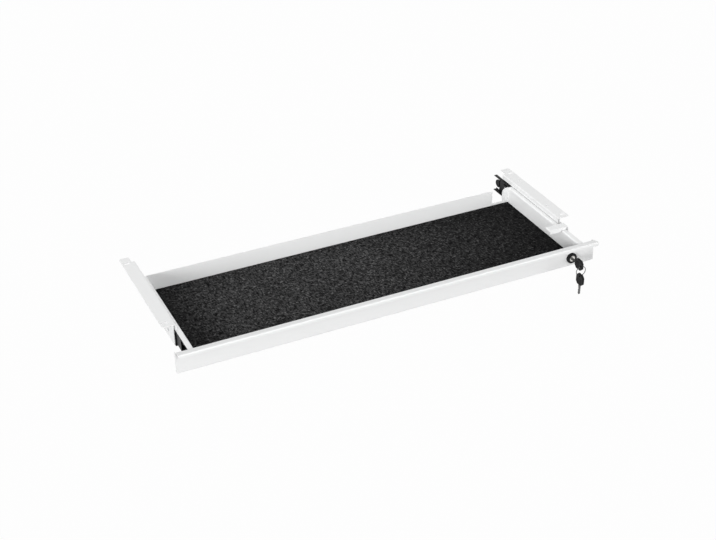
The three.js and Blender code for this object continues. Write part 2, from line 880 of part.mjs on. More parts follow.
// Cam: a flat arm turned to the left, which a quarter turn raises behind the catch
function lockCam() {
  const quarter = Math.PI / 2;
  const tipX = lockX - camLength + camTipRadius;
  const outline = [
    ...arc(lockX, lockZ, camHubRadius, -quarter, quarter, bendSteps * 2),
    ...arc(tipX, lockZ, camTipRadius, quarter, quarter * 3, bendSteps * 2),
  ];
  const eye = camShankWidth / 2 + turningGap;
  const hole = alongY(
    rectangle(lockX - eye, lockZ - eye, lockX + eye, lockZ + eye),
    camFrontY - cutMargin,
    camBackY + cutMargin,
  );
  return meshOf('lock_cam', cut(alongY(outline, camFrontY, camBackY), [hole]), brightSteel);
}

function camScrew() {
  const head = alongY(
    circle(lockX, lockZ, camScrewHeadRadius, smallSides),
    camBackY,
    camBackY + camScrewHeadHeight,
  );
  const shank = alongY(
    circle(lockX, lockZ, camScrewShankRadius, smallSides),
    camBackY - camScrewShankLength,
    camBackY + camScrewHeadHeight / 2,
  );
  const socket = alongY(
    circle(lockX, lockZ, camScrewHeadRadius / 2, hexSides),
    camBackY + camScrewHeadHeight / 2,
    camBackY + camScrewHeadHeight + cutMargin,
  );
  return meshOf('cam_screw', cut(join(head, [shank]), [socket]), brightSteel);
}

// A key lies in a plane of constant X. The place function turns a distance from the end
// of its head and an offset from its middle line into Y and Z.
function keySlab(points, thickness, place) {
  const outline = points.map(([s, t]) => place(s, t));
  return alongX(outline, lockX - thickness / 2, lockX + thickness / 2);
}

function keyHead(name, place) {
  const halfWidth = keyHeadWidth / 2;
  const low = halfWidth - keyHeadChamfer;
  const near = keyHeadChamfer;
  const far = keyHeadLength - keyHeadChamfer;
  const slab = keySlab([
    [0, -low],
    [near, -halfWidth],
    [far, -halfWidth],
    [keyHeadLength, -low],
    [keyHeadLength, low],
    [far, halfWidth],
    [near, halfWidth],
    [0, low],
  ], keyHeadThickness, place);
  const hole = keySlab(
    circle(keyHoleFromEnd, 0, keyHoleRadius, smallSides),
    keyHeadThickness + cutMargin,
    place,
  );
  const tang = keyBladeWidth / 2 + keyTangGap;
  const pocket = keySlab(
    rectangle(keyHeadLength - keyTangLength - keyTangGap, -tang, keyHeadLength + cutMargin, tang),
    keyBladeThickness + keyTangGap * 2,
    place,
  );
  return meshOf(name, cut(slab, [hole, pocket]), blackPlastic);
}

function keyBlade(name, place) {
  const halfWidth = keyBladeWidth / 2;
  const root = keyHeadLength - keyTangLength;
  const tip = keyHeadLength + keyBladeLength;
  const slab = keySlab([
    [root, -halfWidth],
    [tip - keyTipLength, -halfWidth],
    [tip, 0],
    [tip - keyTipLength, halfWidth],
    [root, halfWidth],
  ], keyBladeThickness, place);
  const flat = keyBitPitch * keyBitRunShare;
  const bits = keyBitDepthShares.map((share, i) => {
    const depth = keyBladeWidth * share;
    const slope = depth * keyBitSlopeShare;
    const s = keyHeadLength + keyBitStart + keyBitPitch * i;
    const edge = halfWidth + depth;
    return keySlab([
      [s - flat - slope, edge],
      [s - flat / 2, halfWidth - depth],
      [s + flat / 2, halfWidth - depth],
      [s + flat + slope, edge],
    ], keyBladeThickness + cutMargin, place);
  });
  return meshOf(name, cut(slab, bits), brightSteel);
}

function mainKey() {
  const place = (s, t) => [keyEndY + s, lockZ + t];
  return [keyHead('main_key_head', place), keyBlade('main_key_blade', place)];
}

function spareKey() {
  const place = (s, t) => [ringY + t, spareEndZ - s];
  return [keyHead('spare_key_head', place), keyBlade('spare_key_blade', place)];
}

function keyRing() {
  const geometry = new THREE.TorusGeometry(keyRingRadius, keyRingWire, keyWireSides, keyRingSides);
  geometry.rotateX(Math.PI / 2);
  geometry.translate(lockX, ringY, ringTopZ - keyRingRadius);
  return meshOf('key_ring', solid(geometry), brightSteel);
}

function slide(side, label) {
  return [
    outerRail(side, label),
    railStop(side, label),
    middleRail(side, label),
    innerRail(side, label),
    outerCage(side, label),
    innerCage(side, label),
    ...railScrews(side, label),
    ...trayScrews(side, label),
  ];
}

const drawerSafe = new THREE.Group();
drawerSafe.name = 'under_desk_drawer_safe';
drawerSafe.add(
  leftBracket(),
  rightBracket(),
  lockCatch(),
  ...catchScrews(),
  ...slide(-1, 'left'),
  ...slide(1, 'right'),
  tray(),
  trayBack(),
  trayFront(),
  mat(),
  frontPanel(),
  lockRosette(),
  lockBody(),
  lockNut(),
  lockPlug(),
  lockCam(),
  camScrew(),
  ...mainKey(),
  keyRing(),
  ...spareKey(),
);

export default drawerSafe;
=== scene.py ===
"""Looks of an under desk drawer safe: a shallow steel drawer on telescopic slides with a cam lock.

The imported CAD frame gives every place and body. Sizes in the classes are millimetres in that
frame, and mm() turns them into Blender's metres.
"""

import logging
import math
from collections.abc import Callable, Iterator, Sequence
from contextlib import contextmanager
from dataclasses import dataclass
from enum import Enum
from functools import cached_property
from typing import Any

import bmesh
import bpy
from bpy.types import Material, NodeSocket, Object, World
from mathutils import Matrix, Vector


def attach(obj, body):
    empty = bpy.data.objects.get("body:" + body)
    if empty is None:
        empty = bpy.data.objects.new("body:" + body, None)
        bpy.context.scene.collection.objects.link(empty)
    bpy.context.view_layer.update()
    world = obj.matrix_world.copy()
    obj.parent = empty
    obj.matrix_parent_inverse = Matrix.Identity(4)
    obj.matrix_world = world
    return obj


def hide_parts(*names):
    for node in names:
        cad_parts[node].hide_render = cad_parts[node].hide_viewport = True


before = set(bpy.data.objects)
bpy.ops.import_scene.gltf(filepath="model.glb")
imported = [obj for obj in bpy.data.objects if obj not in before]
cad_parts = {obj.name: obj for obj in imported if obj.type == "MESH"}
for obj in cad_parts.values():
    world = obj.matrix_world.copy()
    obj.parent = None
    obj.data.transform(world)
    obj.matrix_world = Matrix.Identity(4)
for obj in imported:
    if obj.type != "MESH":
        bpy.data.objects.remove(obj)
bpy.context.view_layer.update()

logging.basicConfig(level=logging.INFO, format="%(name)s: %(message)s")
log = logging.getLogger("drawer_safe")

METRES_PER_MM = 0.001
MERGE_DISTANCE = 2e-6  # metres
FOLD_TOLERANCE = 0.01  # how far off a fold line, in millimetres, an edge may lie
ARC_TRIM = 0.01  # what a full half-round end keeps back, so that its arcs don't meet
CLEAR = 2.0  # how far a cutting tool reaches past what it cuts
PIERCE = 3.0  # how far a tool reaches to both sides of a sheet that it pierces
ROUND_SIDES = 48
HOLE_SIDES = 24
HEXAGON = 6
BEND_STEP = math.radians(12)
SMOOTH_ANGLE = math.radians(32)
SIDES = {"left": -1, "right": 1}

# Millimetres in the frame, shared by several pieces.
FACE_Y = -226.5
LOCK_X = 440.0
LOCK_Z = -42.0
LOCK_HOLE = 9.6
WEB_X = 473.9
SLIDE_Z = -35.5
SHEET = 1.2
BRACKET_SHEET = 1.5
RAIL_SCREWS_Y = (-105.5, 118.5)
CATCH_SCREWS_Z = (-24.0, -38.0)
RING_Y = -268.0

Corner = tuple[float, ...]
Pair = tuple[float, float]
Outline = Sequence[Corner]
Colour = tuple[float, float, float, float]


def mm(*values: float) -> Any:
    """Turn millimetres into metres, one number as a float and three as a vector.

    Args:
        values: one length, or the three coordinates of a place.

    Returns:
        The length in metres, or the place as a Vector in metres.
    """
    if len(values) == 1:
        return values[0] * METRES_PER_MM
    return Vector(values) * METRES_PER_MM


def grey(value: float) -> Colour:
    """Give a neutral colour of one linear value."""
    return (value, value, value, 1.0)


def ordered(first: float, second: float) -> Pair:
    """Give two coordinates with the lower one first."""
    return (min(first, second), max(first, second))


def around(middle: float, reach: float = PIERCE) -> Pair:
    """Give the span that reaches equally far to both sides of a coordinate."""
    return (middle - reach, middle + reach)


class Axis(Enum):
    """One of the frame's three directions, along which a profile is run."""

    X = 0
    Y = 1
    Z = 2

    @property
    def vector(self) -> Vector:
        """The direction as a unit vector."""
        return Vector([float(i == self.value) for i in range(3)])

    def place(self, along: float, u: float, v: float) -> Vector:
        """Put a profile's point at a distance along the direction.

        Args:
            along: coordinate on this axis, in millimetres.
            u: the first of the two other coordinates, in the order X, Y, Z.
            v: the second of the two other coordinates.

        Returns:
            The point in metres.
        """
        values = [u, v]
        values.insert(self.value, along)
        return mm(*values)

    def holds(self, edge: Any, point: Vector) -> bool:
        """Tell whether an edge lies on the line that runs this way through a point.

        Args:
            edge: a bmesh edge.
            point: a point of the line, in metres.

        Returns:
            Whether both ends are on it.
        """
        gaps = [end.co - point for end in edge.verts]
        off = [gap - self.vector * gap.dot(self.vector) for gap in gaps]
        return all(distance.length < mm(FOLD_TOLERANCE) for distance in off)


class Kind(Enum):
    """What a choice in edit mode picks out, with the name of its sequence in a bmesh."""

    EDGE = "edges"
    FACE = "faces"


class Join(Enum):
    """How a Boolean puts two solids together."""

    CUT = "DIFFERENCE"
    ADD = "UNION"
    KEEP = "INTERSECT"


def rounded(corners: Outline, closed: bool = True) -> list[Pair]:
    """Replace each corner that has a radius by an arc.

    Args:
        corners: points (u, v) or (u, v, radius) in millimetres.
        closed: whether the last corner joins the first.

    Returns:
        The points of the rounded line.
    """
    line: list[Pair] = []
    count = len(corners)
    for i, corner in enumerate(corners):
        here = Vector(corner[:2])
        if len(corner) < 3 or (not closed and i in (0, count - 1)):
            line.append((here.x, here.y))
            continue
        before = (Vector(corners[i - 1][:2]) - here).normalized()
        after = (Vector(corners[(i + 1) % count][:2]) - here).normalized()
        inner = before.angle(after)
        run = corner[2] / math.tan(inner / 2)
        centre = here + (before + after).normalized() * (corner[2] / math.sin(inner / 2))
        start = here + before * run - centre
        end = here + after * run - centre
        turn = math.atan2(start.x * end.y - start.y * end.x, start.dot(end))
        steps = max(2, math.ceil(abs(turn) / BEND_STEP))
        for k in range(steps + 1):
            point = centre + Matrix.Rotation(turn * k / steps, 2) @ start
            line.append((point.x, point.y))
    return line


def rectangle(u0: float, v0: float, u1: float, v1: float, radius: float | None = None) -> list[Corner]:
    """List a rectangle's corners, all with the same radius where one is given."""
    tail = () if radius is None else (radius,)
    return [(u, v, *tail) for u, v in ((u0, v0), (u1, v0), (u1, v1), (u0, v1))]


class Bench:
    """The modelling bench: Blender's operators, each with a clean selection before it."""

    @staticmethod
    def clear() -> None:
        """Leave edit mode and let go of every object."""
        if bpy.context.object is not None and bpy.context.object.mode != "OBJECT":
            bpy.ops.object.mode_set(mode="OBJECT")
        bpy.ops.object.select_all(action="DESELECT")

    @staticmethod
    def hold(*objects: Object) -> None:
        """Select these objects alone and make the first one active.

        Args:
            objects: the objects, the active one first.
        """
        Bench.clear()
        for obj in objects:
            obj.select_set(True)
        bpy.context.view_layer.objects.active = objects[0]

    @staticmethod
    def call(obj: Object, name: str) -> Object:
        """Give an object and its mesh a name.

        Args:
            obj: the object.
            name: the name.

        Returns:
            The same object.
        """
        obj.name = name
        obj.data.name = name
        return obj

    @staticmethod
    @contextmanager
    def edit(obj: Object) -> Iterator[None]:
        """Open an object in edit mode with everything chosen, and leave edit mode afterwards.

        Args:
            obj: the mesh object.

        Returns:
            A context in which mesh operators act on the object.
        """
        Bench.hold(obj)
        bpy.ops.object.mode_set(mode="EDIT")
        bpy.ops.mesh.select_all(action="SELECT")
        yield
        bpy.ops.object.mode_set(mode="OBJECT")

    @staticmethod
    def choose(obj: Object, kind: Kind, test: Callable[[Any], bool]) -> None:
        """Choose the edges or faces that pass a test, in edit mode.

        Args:
            obj: the object that is open in edit mode.
            kind: what is chosen.
            test: says whether one of them is chosen.
        """
        bpy.ops.mesh.select_mode(type=kind.name)
        bpy.ops.mesh.select_all(action="DESELECT")
        mesh = bmesh.from_edit_mesh(obj.data)
        for item in getattr(mesh, kind.value):
            if test(item):
                item.select_set(True)
        mesh.select_flush_mode()
        bmesh.update_edit_mesh(obj.data)

    @staticmethod
    def draw(name: str, points: Sequence[Vector], close: bool) -> Object:
        """Draw a line from a plane's middle, vertex by vertex.

        Args:
            name: the new object's name.
            points: the line's points in metres.
            close: whether the line is closed and filled with a face.

        Returns:
            The object, with the line as its mesh.
        """
        Bench.clear()
        bpy.ops.mesh.primitive_plane_add(size=mm(1), location=points[0])
        obj = Bench.call(bpy.context.object, name)
        with Bench.edit(obj):
            bpy.ops.mesh.select_mode(type="VERT")
            bpy.ops.mesh.merge(type="CENTER")
            for here, there in zip(points, points[1:]):
                bpy.ops.mesh.extrude_vertices_move(TRANSFORM_OT_translate={"value": there - here})
            if close:
                bpy.ops.mesh.select_all(action="SELECT")
                bpy.ops.mesh.edge_face_add()
        return obj

    @staticmethod
    def prism(name: str, axis: Axis, span: Pair, corners: Outline) -> Object:
        """Fill an outline and extrude it along an axis.

        Args:
            name: the new object's name.
            axis: the direction of the extrusion.
            span: its start and end, in millimetres.
            corners: the outline, with radii where it is rounded.

        Returns:
            The closed solid.
        """
        points = [axis.place(span[0], u, v) for u, v in rounded(corners)]
        obj = Bench.draw(name, points, close=True)
        with Bench.edit(obj):
            shift = axis.vector * mm(span[1] - span[0])
            bpy.ops.mesh.extrude_region_move(TRANSFORM_OT_translate={"value": shift})
            bpy.ops.mesh.select_all(action="SELECT")
            bpy.ops.mesh.normals_make_consistent(inside=False)
        return obj

    @staticmethod
    def folded(
        name: str, axis: Axis, span: Pair, path: Outline, gauge: float
    ) -> Object:
        """Fold a sheet: its middle line is extruded, the folds are bevelled round and it is thickened.

        Args:
            name: the new object's name.
            axis: the direction that the folds run in.
            span: the sheet's start and end on that axis.
            path: the middle line's corners, each with its bend radius.
            gauge: the sheet's thickness.

        Returns:
            The folded sheet as a closed solid.
        """
        points = [axis.place(span[0], *corner[:2]) for corner in path]
        obj = Bench.draw(name, points, close=False)
        start = obj.location.copy()
        with Bench.edit(obj):
            shift = axis.vector * mm(span[1] - span[0])
            bpy.ops.mesh.extrude_region_move(TRANSFORM_OT_translate={"value": shift})
            for i in range(1, len(path) - 1):
                fold = axis.place(span[0], *path[i][:2]) - start
                inner = (points[i - 1] - points[i]).angle(points[i + 1] - points[i])
                turn = math.pi - inner
                Bench.choose(obj, Kind.EDGE, lambda edge: axis.holds(edge, fold))
                bpy.ops.mesh.bevel(
                    offset=mm(path[i][2]) * math.tan(turn / 2),
                    segments=max(3, math.ceil(turn / BEND_STEP)),
                    affect="EDGES",
                )
        Bench.modify(obj, "SOLIDIFY", thickness=mm(gauge), offset=0.0, use_even_offset=True)
        return Bench.face_out(obj)

    @staticmethod
    def turned(
        name: str, axis: Axis, centre: Pair, profile: Outline, steps: int = 64
    ) -> Object:
        """Spin a profile once around an axis.

        Args:
            name: the new object's name.
            axis: the axis of the spin.
            centre: the axis's two other coordinates, in the order X, Y, Z.
            profile: a closed outline of (radius, along) corners.
            steps: how many steps the turn takes.

        Returns:
            The turned solid.
        """
        u, v = centre
        points = [axis.place(along, u + radius, v) for radius, along in rounded(profile)]
        obj = Bench.draw(name, [*points, points[0]], close=False)
        with Bench.edit(obj):
            bpy.ops.mesh.spin(steps=steps, angle=math.tau, center=axis.place(0, u, v), axis=axis.vector)
            bpy.ops.mesh.select_all(action="SELECT")
            bpy.ops.mesh.remove_doubles(threshold=MERGE_DISTANCE)
            bpy.ops.mesh.dissolve_degenerate(threshold=MERGE_DISTANCE)
            bpy.ops.mesh.normals_make_consistent(inside=False)
        return obj

    @staticmethod
    def rod(
        axis: Axis, span: Pair, centre: Pair, radius: float, sides: int = ROUND_SIDES
    ) -> Object:
        """Add a round or many-sided rod that cuts a hole or joins a solid.

        Args:
            axis: the rod's direction.
            span: its start and end.
            centre: its two other coordinates.
            radius: its radius to the corners.
            sides: how many sides it has.

        Returns:
            The rod.
        """
        Bench.clear()
        turn = Vector((0, 0, 1)).rotation_difference(axis.vector)
        middle = axis.place(sum(span) / 2, *centre)
        bpy.ops.mesh.primitive_cylinder_add(
            vertices=sides, radius=mm(radius), depth=mm(abs(span[1] - span[0])),
            location=middle, rotation=turn.to_euler(),
        )
        return bpy.context.object

    @staticmethod
    def modify(obj: Object, kind: str, **settings: Any) -> Object:
        """Add a modifier with its settings and apply it.

        Args:
            obj: the object.
            kind: the modifier's type.
            settings: its properties.

        Returns:
            The same object.
        """
        Bench.hold(obj)
        modifier = obj.modifiers.new(kind.lower(), kind)
        for key, value in settings.items():
            setattr(modifier, key, value)
        bpy.ops.object.modifier_apply(modifier=modifier.name)
        return obj

    @staticmethod
    def boolean(obj: Object, how: Join, tool: Object) -> None:
        """Put a tool solid together with an object and throw the tool away.

        Args:
            obj: the object that is kept.
            how: the kind of Boolean.
            tool: the other solid.
        """
        Bench.modify(obj, "BOOLEAN", operation=how.value, solver="EXACT", object=tool)
        mesh = tool.data
        bpy.data.objects.remove(tool)
        bpy.data.meshes.remove(mesh)

    @staticmethod
    def drill(
        obj: Object, axis: Axis, span: Pair, centre: Pair, radius: float, sides: int = ROUND_SIDES
    ) -> None:
        """Cut a round or many-sided hole."""
        Bench.boolean(obj, Join.CUT, Bench.rod(axis, span, centre, radius, sides))

    @staticmethod
    def face_out(obj: Object) -> Object:
        """Merge double vertices and turn every face outwards.

        Args:
            obj: the object.

        Returns:
            The same object.
        """
        with Bench.edit(obj):
            bpy.ops.mesh.remove_doubles(threshold=MERGE_DISTANCE)
            bpy.ops.mesh.normals_make_consistent(inside=False)
        return obj

    @staticmethod
    def soften(obj: Object, width: float, segments: int = 2, angle: float = 40) -> Object:
        """Round the sharp edges of an object.

        Args:
            obj: the object.
            width: the rounding's width in millimetres.
            segments: how many steps it has.
            angle: the smallest angle in degrees that counts as an edge.

        Returns:
            The same object.
        """
        return Bench.modify(
            obj, "BEVEL", width=mm(width), segments=segments, limit_method="ANGLE",
            angle_limit=math.radians(angle), use_clamp_overlap=True,
        )

    @staticmethod
    def copy(obj: Object, name: str) -> Object:
        """Copy an object with a mesh of its own.

        Args:
            obj: the object to copy.
            name: the copy's name.

        Returns:
            The copy.
        """
        Bench.hold(obj)
        bpy.ops.object.duplicate(linked=False)
        return Bench.call(bpy.context.object, name)

    @staticmethod
    def fuse(name: str, objects: Sequence[Object]) -> Object:
        """Join several objects into one mesh without cutting them.

        Args:
            name: the joined object's name.
            objects: the objects.

        Returns:
            The joined object.
        """
        Bench.hold(*objects)
        bpy.ops.object.join()
        return Bench.call(bpy.context.object, name)

    @staticmethod
    def settle(obj: Object) -> None:
        """Put an object's place into its mesh, smooth its curves and weight its normals by area.

        Args:
            obj: the object.
        """
        Bench.hold(obj)
        bpy.ops.object.transform_apply(location=True, rotation=True, scale=True)
        Bench.face_out(obj)
        Bench.hold(obj)
        bpy.ops.object.shade_smooth_by_angle(angle=SMOOTH_ANGLE)
        Bench.modify(obj, "WEIGHTED_NORMAL", keep_sharp=True)


class Signal:
    """An output socket that Python's operators can work on."""

    def __init__(self, shader: "Shader", socket: NodeSocket | None) -> None:
        """Wrap a socket of a shader's tree."""
        self.shader = shader
        self.socket = socket

    def _maths(self, operation: str, first: Any, second: Any) -> "Signal":
        """Add one Math node."""
        return self.shader.node("ShaderNodeMath", {"operation": operation}, {0: first, 1: second})

    def __add__(self, other: Any) -> "Signal":
        """Add a value."""
        return self._maths("ADD", self, other)

    __radd__ = __add__

    def __sub__(self, other: Any) -> "Signal":
        """Take a value away."""
        return self._maths("SUBTRACT", self, other)

    def __rsub__(self, other: Any) -> "Signal":
        """Take this signal away from a value."""
        return self._maths("SUBTRACT", other, self)

    def __mul__(self, other: Any) -> "Signal":
        """Multiply by a value."""
        return self._maths("MULTIPLY", self, other)

    __rmul__ = __mul__

    def __pow__(self, other: float) -> "Signal":
        """Raise to a power."""
        return self._maths("POWER", self, other)

    def at_least(self, level: float) -> "Signal":
        """Raise this signal to a level wherever it lies below it."""
        return self._maths("MAXIMUM", self, level)

    def above(self, level: float) -> "Signal":
        """Give one where the signal passes a level and zero elsewhere."""
        return self._maths("GREATER_THAN", self, level)


class Shader:
    """The node tree of a material or of the world, with one method that adds any node."""

    def __init__(self, owner: Material | World) -> None:
        """Empty the tree of a new material or world.

        Args:
            owner: the material or world.
        """
        owner.use_nodes = True
        self.owner = owner
        self.tree = owner.node_tree
        self.tree.nodes.clear()

    @cached_property
    def places(self) -> Signal:
        """The object coordinates of the shaded points."""
        return self.node("ShaderNodeTexCoord", {}, {}, output="Object")

    def node(
        self, kind: str, settings: dict[str, Any], inputs: dict[Any, Any], output: int | str = 0
    ) -> Signal:
        """Add a node, set its settings first and then its sockets.

        Args:
            kind: the node's type.
            settings: its properties.
            inputs: values or signals by socket name or number.
            output: the socket that is given back.

        Returns:
            One of the node's outputs.
        """
        node = self.tree.nodes.new(kind)
        for key, value in settings.items():
            setattr(node, key, value)
        for key, value in inputs.items():
            if isinstance(value, Signal):
                self.tree.links.new(value.socket, node.inputs[key])
            else:
                node.inputs[key].default_value = value
        return Signal(self, node.outputs[output] if node.outputs else None)

    def noise(self, scale: float, detail: float = 2.0, stretch: Corner = (1, 1, 1)) -> Signal:
        """Add a noise pattern.

        Args:
            scale: how many of its features fit in a metre.
            detail: how many finer layers it has.
            stretch: how much denser it is along each axis.

        Returns:
            Its value, from 0 to 1.
        """
        places = self.node("ShaderNodeMapping", {}, {"Vector": self.places, "Scale": stretch})
        return self.node(
            "ShaderNodeTexNoise", {}, {"Vector": places, "Scale": scale, "Detail": detail}
        )

    def blend(self, factor: Signal, low: Any, high: Any) -> Signal:
        """Mix two colours."""
        settings = {"data_type": "RGBA", "clamp_factor": True}
        return self.node("ShaderNodeMix", settings, {0: factor, 6: low, 7: high}, output=2)

    def bump(self, height: Signal, depth: float, strength: float) -> Signal:
        """Add a bump."""
        inputs = {"Strength": strength, "Distance": mm(depth), "Height": height}
        return self.node("ShaderNodeBump", {}, inputs, output="Normal")

    def finish(self, inputs: dict[str, Any]) -> Material:
        """End the tree in a Principled shader.

        Args:
            inputs: the shader's values and signals.

        Returns:
            The material.
        """
        surface = self.node("ShaderNodeBsdfPrincipled", {}, inputs, output="BSDF")
        self.node("ShaderNodeOutputMaterial", {}, {"Surface": surface})
        return self.owner


@dataclass(frozen=True)
class PowderCoat:
    """White powder coat on steel: satin, with a fine grain and a faint orange peel."""

    slot: str = "white_coat"
    low: Colour = (0.796, 0.800, 0.800, 1.0)
    high: Colour = (0.832, 0.836, 0.836, 1.0)
    grain_scale: float = 2300.0
    peel_scale: float = 420.0
    tone_scale: float = 11.0
    roughness: float = 0.40

    def build(self) -> Material:
        """Make the material.

        Returns:
            The material.
        """
        shader = Shader(bpy.data.materials.new(self.slot))
        grain = shader.noise(self.grain_scale, 2)
        peel = shader.noise(self.peel_scale, 3)
        tone = shader.noise(self.tone_scale, 3)
        return shader.finish({
            "Base Color": shader.blend(tone * 0.6 + grain * 0.4, self.low, self.high),
            "Roughness": grain * 0.14 + peel * 0.06 + self.roughness,
            "Normal": shader.bump(grain * 0.5 + peel * 0.5, 0.05, 0.22),
            "Specular IOR Level": 0.45,
        })


@dataclass(frozen=True)
class CoatedRail:
    """Black coated slide steel, rubbed thin in fine lines along its length."""

    slot: str = "black_rail"
    coat: Colour = (0.006, 0.006, 0.0066, 1.0)
    rubbed: Colour = (0.050, 0.050, 0.051, 1.0)
    line_scale: float = 620.0
    cloud_scale: float = 90.0

    def build(self) -> Material:
        """Make the material.

        Returns:
            The material.
        """
        shader = Shader(bpy.data.materials.new(self.slot))
        lines = shader.noise(self.line_scale, 3, (1, 0.012, 1))
        cloud = shader.noise(self.cloud_scale, 4)
        wear = (lines ** 4.0) * cloud * 3.0
        return shader.finish({
            "Base Color": shader.blend(wear, self.coat, self.rubbed),
            "Roughness": 0.30 + cloud * 0.16 + lines * 0.10,
            "Metallic": wear * 0.5,
            "Normal": shader.bump(lines, 0.02, 0.15),
            "Specular IOR Level": 0.16,
        })


@dataclass(frozen=True)
class PlatedSteel:
    """Plated or bare steel with fine scratches and a slight haze."""

    slot: str
    low: Colour
    high: Colour
    roughness: float
    haze: float
    scratch_scale: float = 900.0
    cloud_scale: float = 140.0
    stretch: Corner = (1.0, 0.08, 1.0)

    def build(self) -> Material:
        """Make the material.

        Returns:
            The material.
        """
        shader = Shader(bpy.data.materials.new(self.slot))
        scratches = shader.noise(self.scratch_scale, 4, self.stretch)
        cloud = shader.noise(self.cloud_scale, 4)
        return shader.finish({
            "Base Color": shader.blend(cloud * 0.7 + scratches * 0.3, self.low, self.high),
            "Roughness": cloud * self.haze + scratches * self.haze + self.roughness,
            "Metallic": 1.0,
            "Normal": shader.bump(scratches, 0.01, 0.12),
        })


@dataclass(frozen=True)
class MouldedPlastic:
    """Moulded black plastic with a fine spark-eroded grain."""

    slot: str = "black_plastic"
    low: Colour = (0.005, 0.005, 0.0055, 1.0)
    high: Colour = (0.011, 0.011, 0.0116, 1.0)
    grain_scale: float = 3200.0
    handled_scale: float = 160.0

    def build(self) -> Material:
        """Make the material.

        Returns:
            The material.
        """
        shader = Shader(bpy.data.materials.new(self.slot))
        grain = shader.noise(self.grain_scale, 2)
        handled = shader.noise(self.handled_scale, 3)
        return shader.finish({
            "Base Color": shader.blend(grain, self.low, self.high),
            "Roughness": 0.36 + grain * 0.16 - handled * 0.08,
            "Normal": shader.bump(grain, 0.03, 0.35),
            "Specular IOR Level": 0.14,
        })


@dataclass(frozen=True)
class PressedFelt:
    """Black felt: a mat of fine fibres with lighter flecks and pressed clouds."""

    slot: str = "black_felt"
    deep: Colour = (0.0025, 0.0025, 0.0027, 1.0)
    mid: Colour = (0.064, 0.064, 0.0645, 1.0)
    fleck: Colour = (0.160, 0.160, 0.161, 1.0)
    fibre_scale: float = 210.0
    fleck_scale: float = 240.0
    cloud_scale: float = 14.0
    nap_floor: float = 0.42
    nap_contrast: float = 5.4
    fleck_floor: float = 0.54
    fleck_contrast: float = 7.0
    # Painted shade: how fast the colour darkens towards the right and near the left edge, which starts
    # this far left of the middle, in metres.
    painted_shade_right: float = 1.7
    painted_shade_left: float = 7.0
    painted_shade_left_from: float = 0.35

    def build(self) -> Material:
        """Make the material, with painted shade that darkens it towards the right and near its left
        edge.

        Returns:
            The material.
        """
        shader = Shader(bpy.data.materials.new(self.slot))
        along = shader.noise(self.fibre_scale, 4, (0.35, 1.6, 1))
        across = shader.noise(self.fibre_scale, 4, (1.6, 0.35, 1))
        specks = shader.noise(self.fleck_scale, 5)
        cloud = shader.noise(self.cloud_scale, 4)
        nap = along * 0.5 + across * 0.5
        across_drawer = shader.node("ShaderNodeSeparateXYZ", {}, {0: shader.places}, output="X")
        # Painted shade: the colour and flecks darken towards the right and near the left edge, standing
        # in for light that falls off there.
        right = across_drawer.at_least(0.0) * self.painted_shade_right
        left = (-self.painted_shade_left_from - across_drawer).at_least(0.0) * self.painted_shade_left
        painted_shade = 1.0 - right - left
        light = (nap - self.nap_floor) * self.nap_contrast * (cloud * 0.8 + 0.6) * painted_shade
        ground = shader.blend(light, self.deep, self.mid)
        flecks = (specks - self.fleck_floor) * self.fleck_contrast * painted_shade
        return shader.finish({
            "Base Color": shader.blend(flecks * 0.7, ground, self.fleck),
            "Roughness": 0.92 + nap * 0.08,
            "Normal": shader.bump(nap * 0.6 + specks * 0.4, 0.6, 0.8),
            "Specular IOR Level": 0.03,
        })


ZINC = PlatedSteel("screw_steel", grey(0.52), grey(0.66), 0.24, 0.12)
NICKEL = PlatedSteel(
    "nickel", (0.66, 0.645, 0.61, 1.0), (0.78, 0.77, 0.74, 1.0), 0.10, 0.08, stretch=(1, 1, 1)
)
KEY_STEEL = PlatedSteel("key_steel", grey(0.13), grey(0.20), 0.22, 0.14)
BALL_STEEL = PlatedSteel("ball_steel", grey(0.42), grey(0.52), 0.16, 0.12)
FINISHES = (
    PowderCoat(), CoatedRail(), MouldedPlastic(), PressedFelt(), ZINC, NICKEL, KEY_STEEL, BALL_STEEL,
)


class Wardrobe:
    """Makes each finish once and dresses the pieces with it."""

    def __init__(self) -> None:
        """Make every finish."""
        self.materials = {finish.slot: finish.build() for finish in FINISHES}
        self.count = 0

    def dress(self, piece: Object, slot: str, body: str, *nodes: str) -> Object:
        """Finish a piece and hang it on its body.

        Args:
            piece: the modelled object.
            slot: the record's material slot.
            body: the CAD body that it moves with.
            nodes: the CAD nodes that it stands for.

        Returns:
            The same object.
        """
        Bench.settle(piece)
        piece.data.materials.clear()
        piece.data.materials.append(self.materials[slot])
        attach(piece, body)
        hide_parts(*nodes)
        self.count += 1
        log.info("%s rides on %s, %d faces", piece.name, body, len(piece.data.polygons))
        return piece


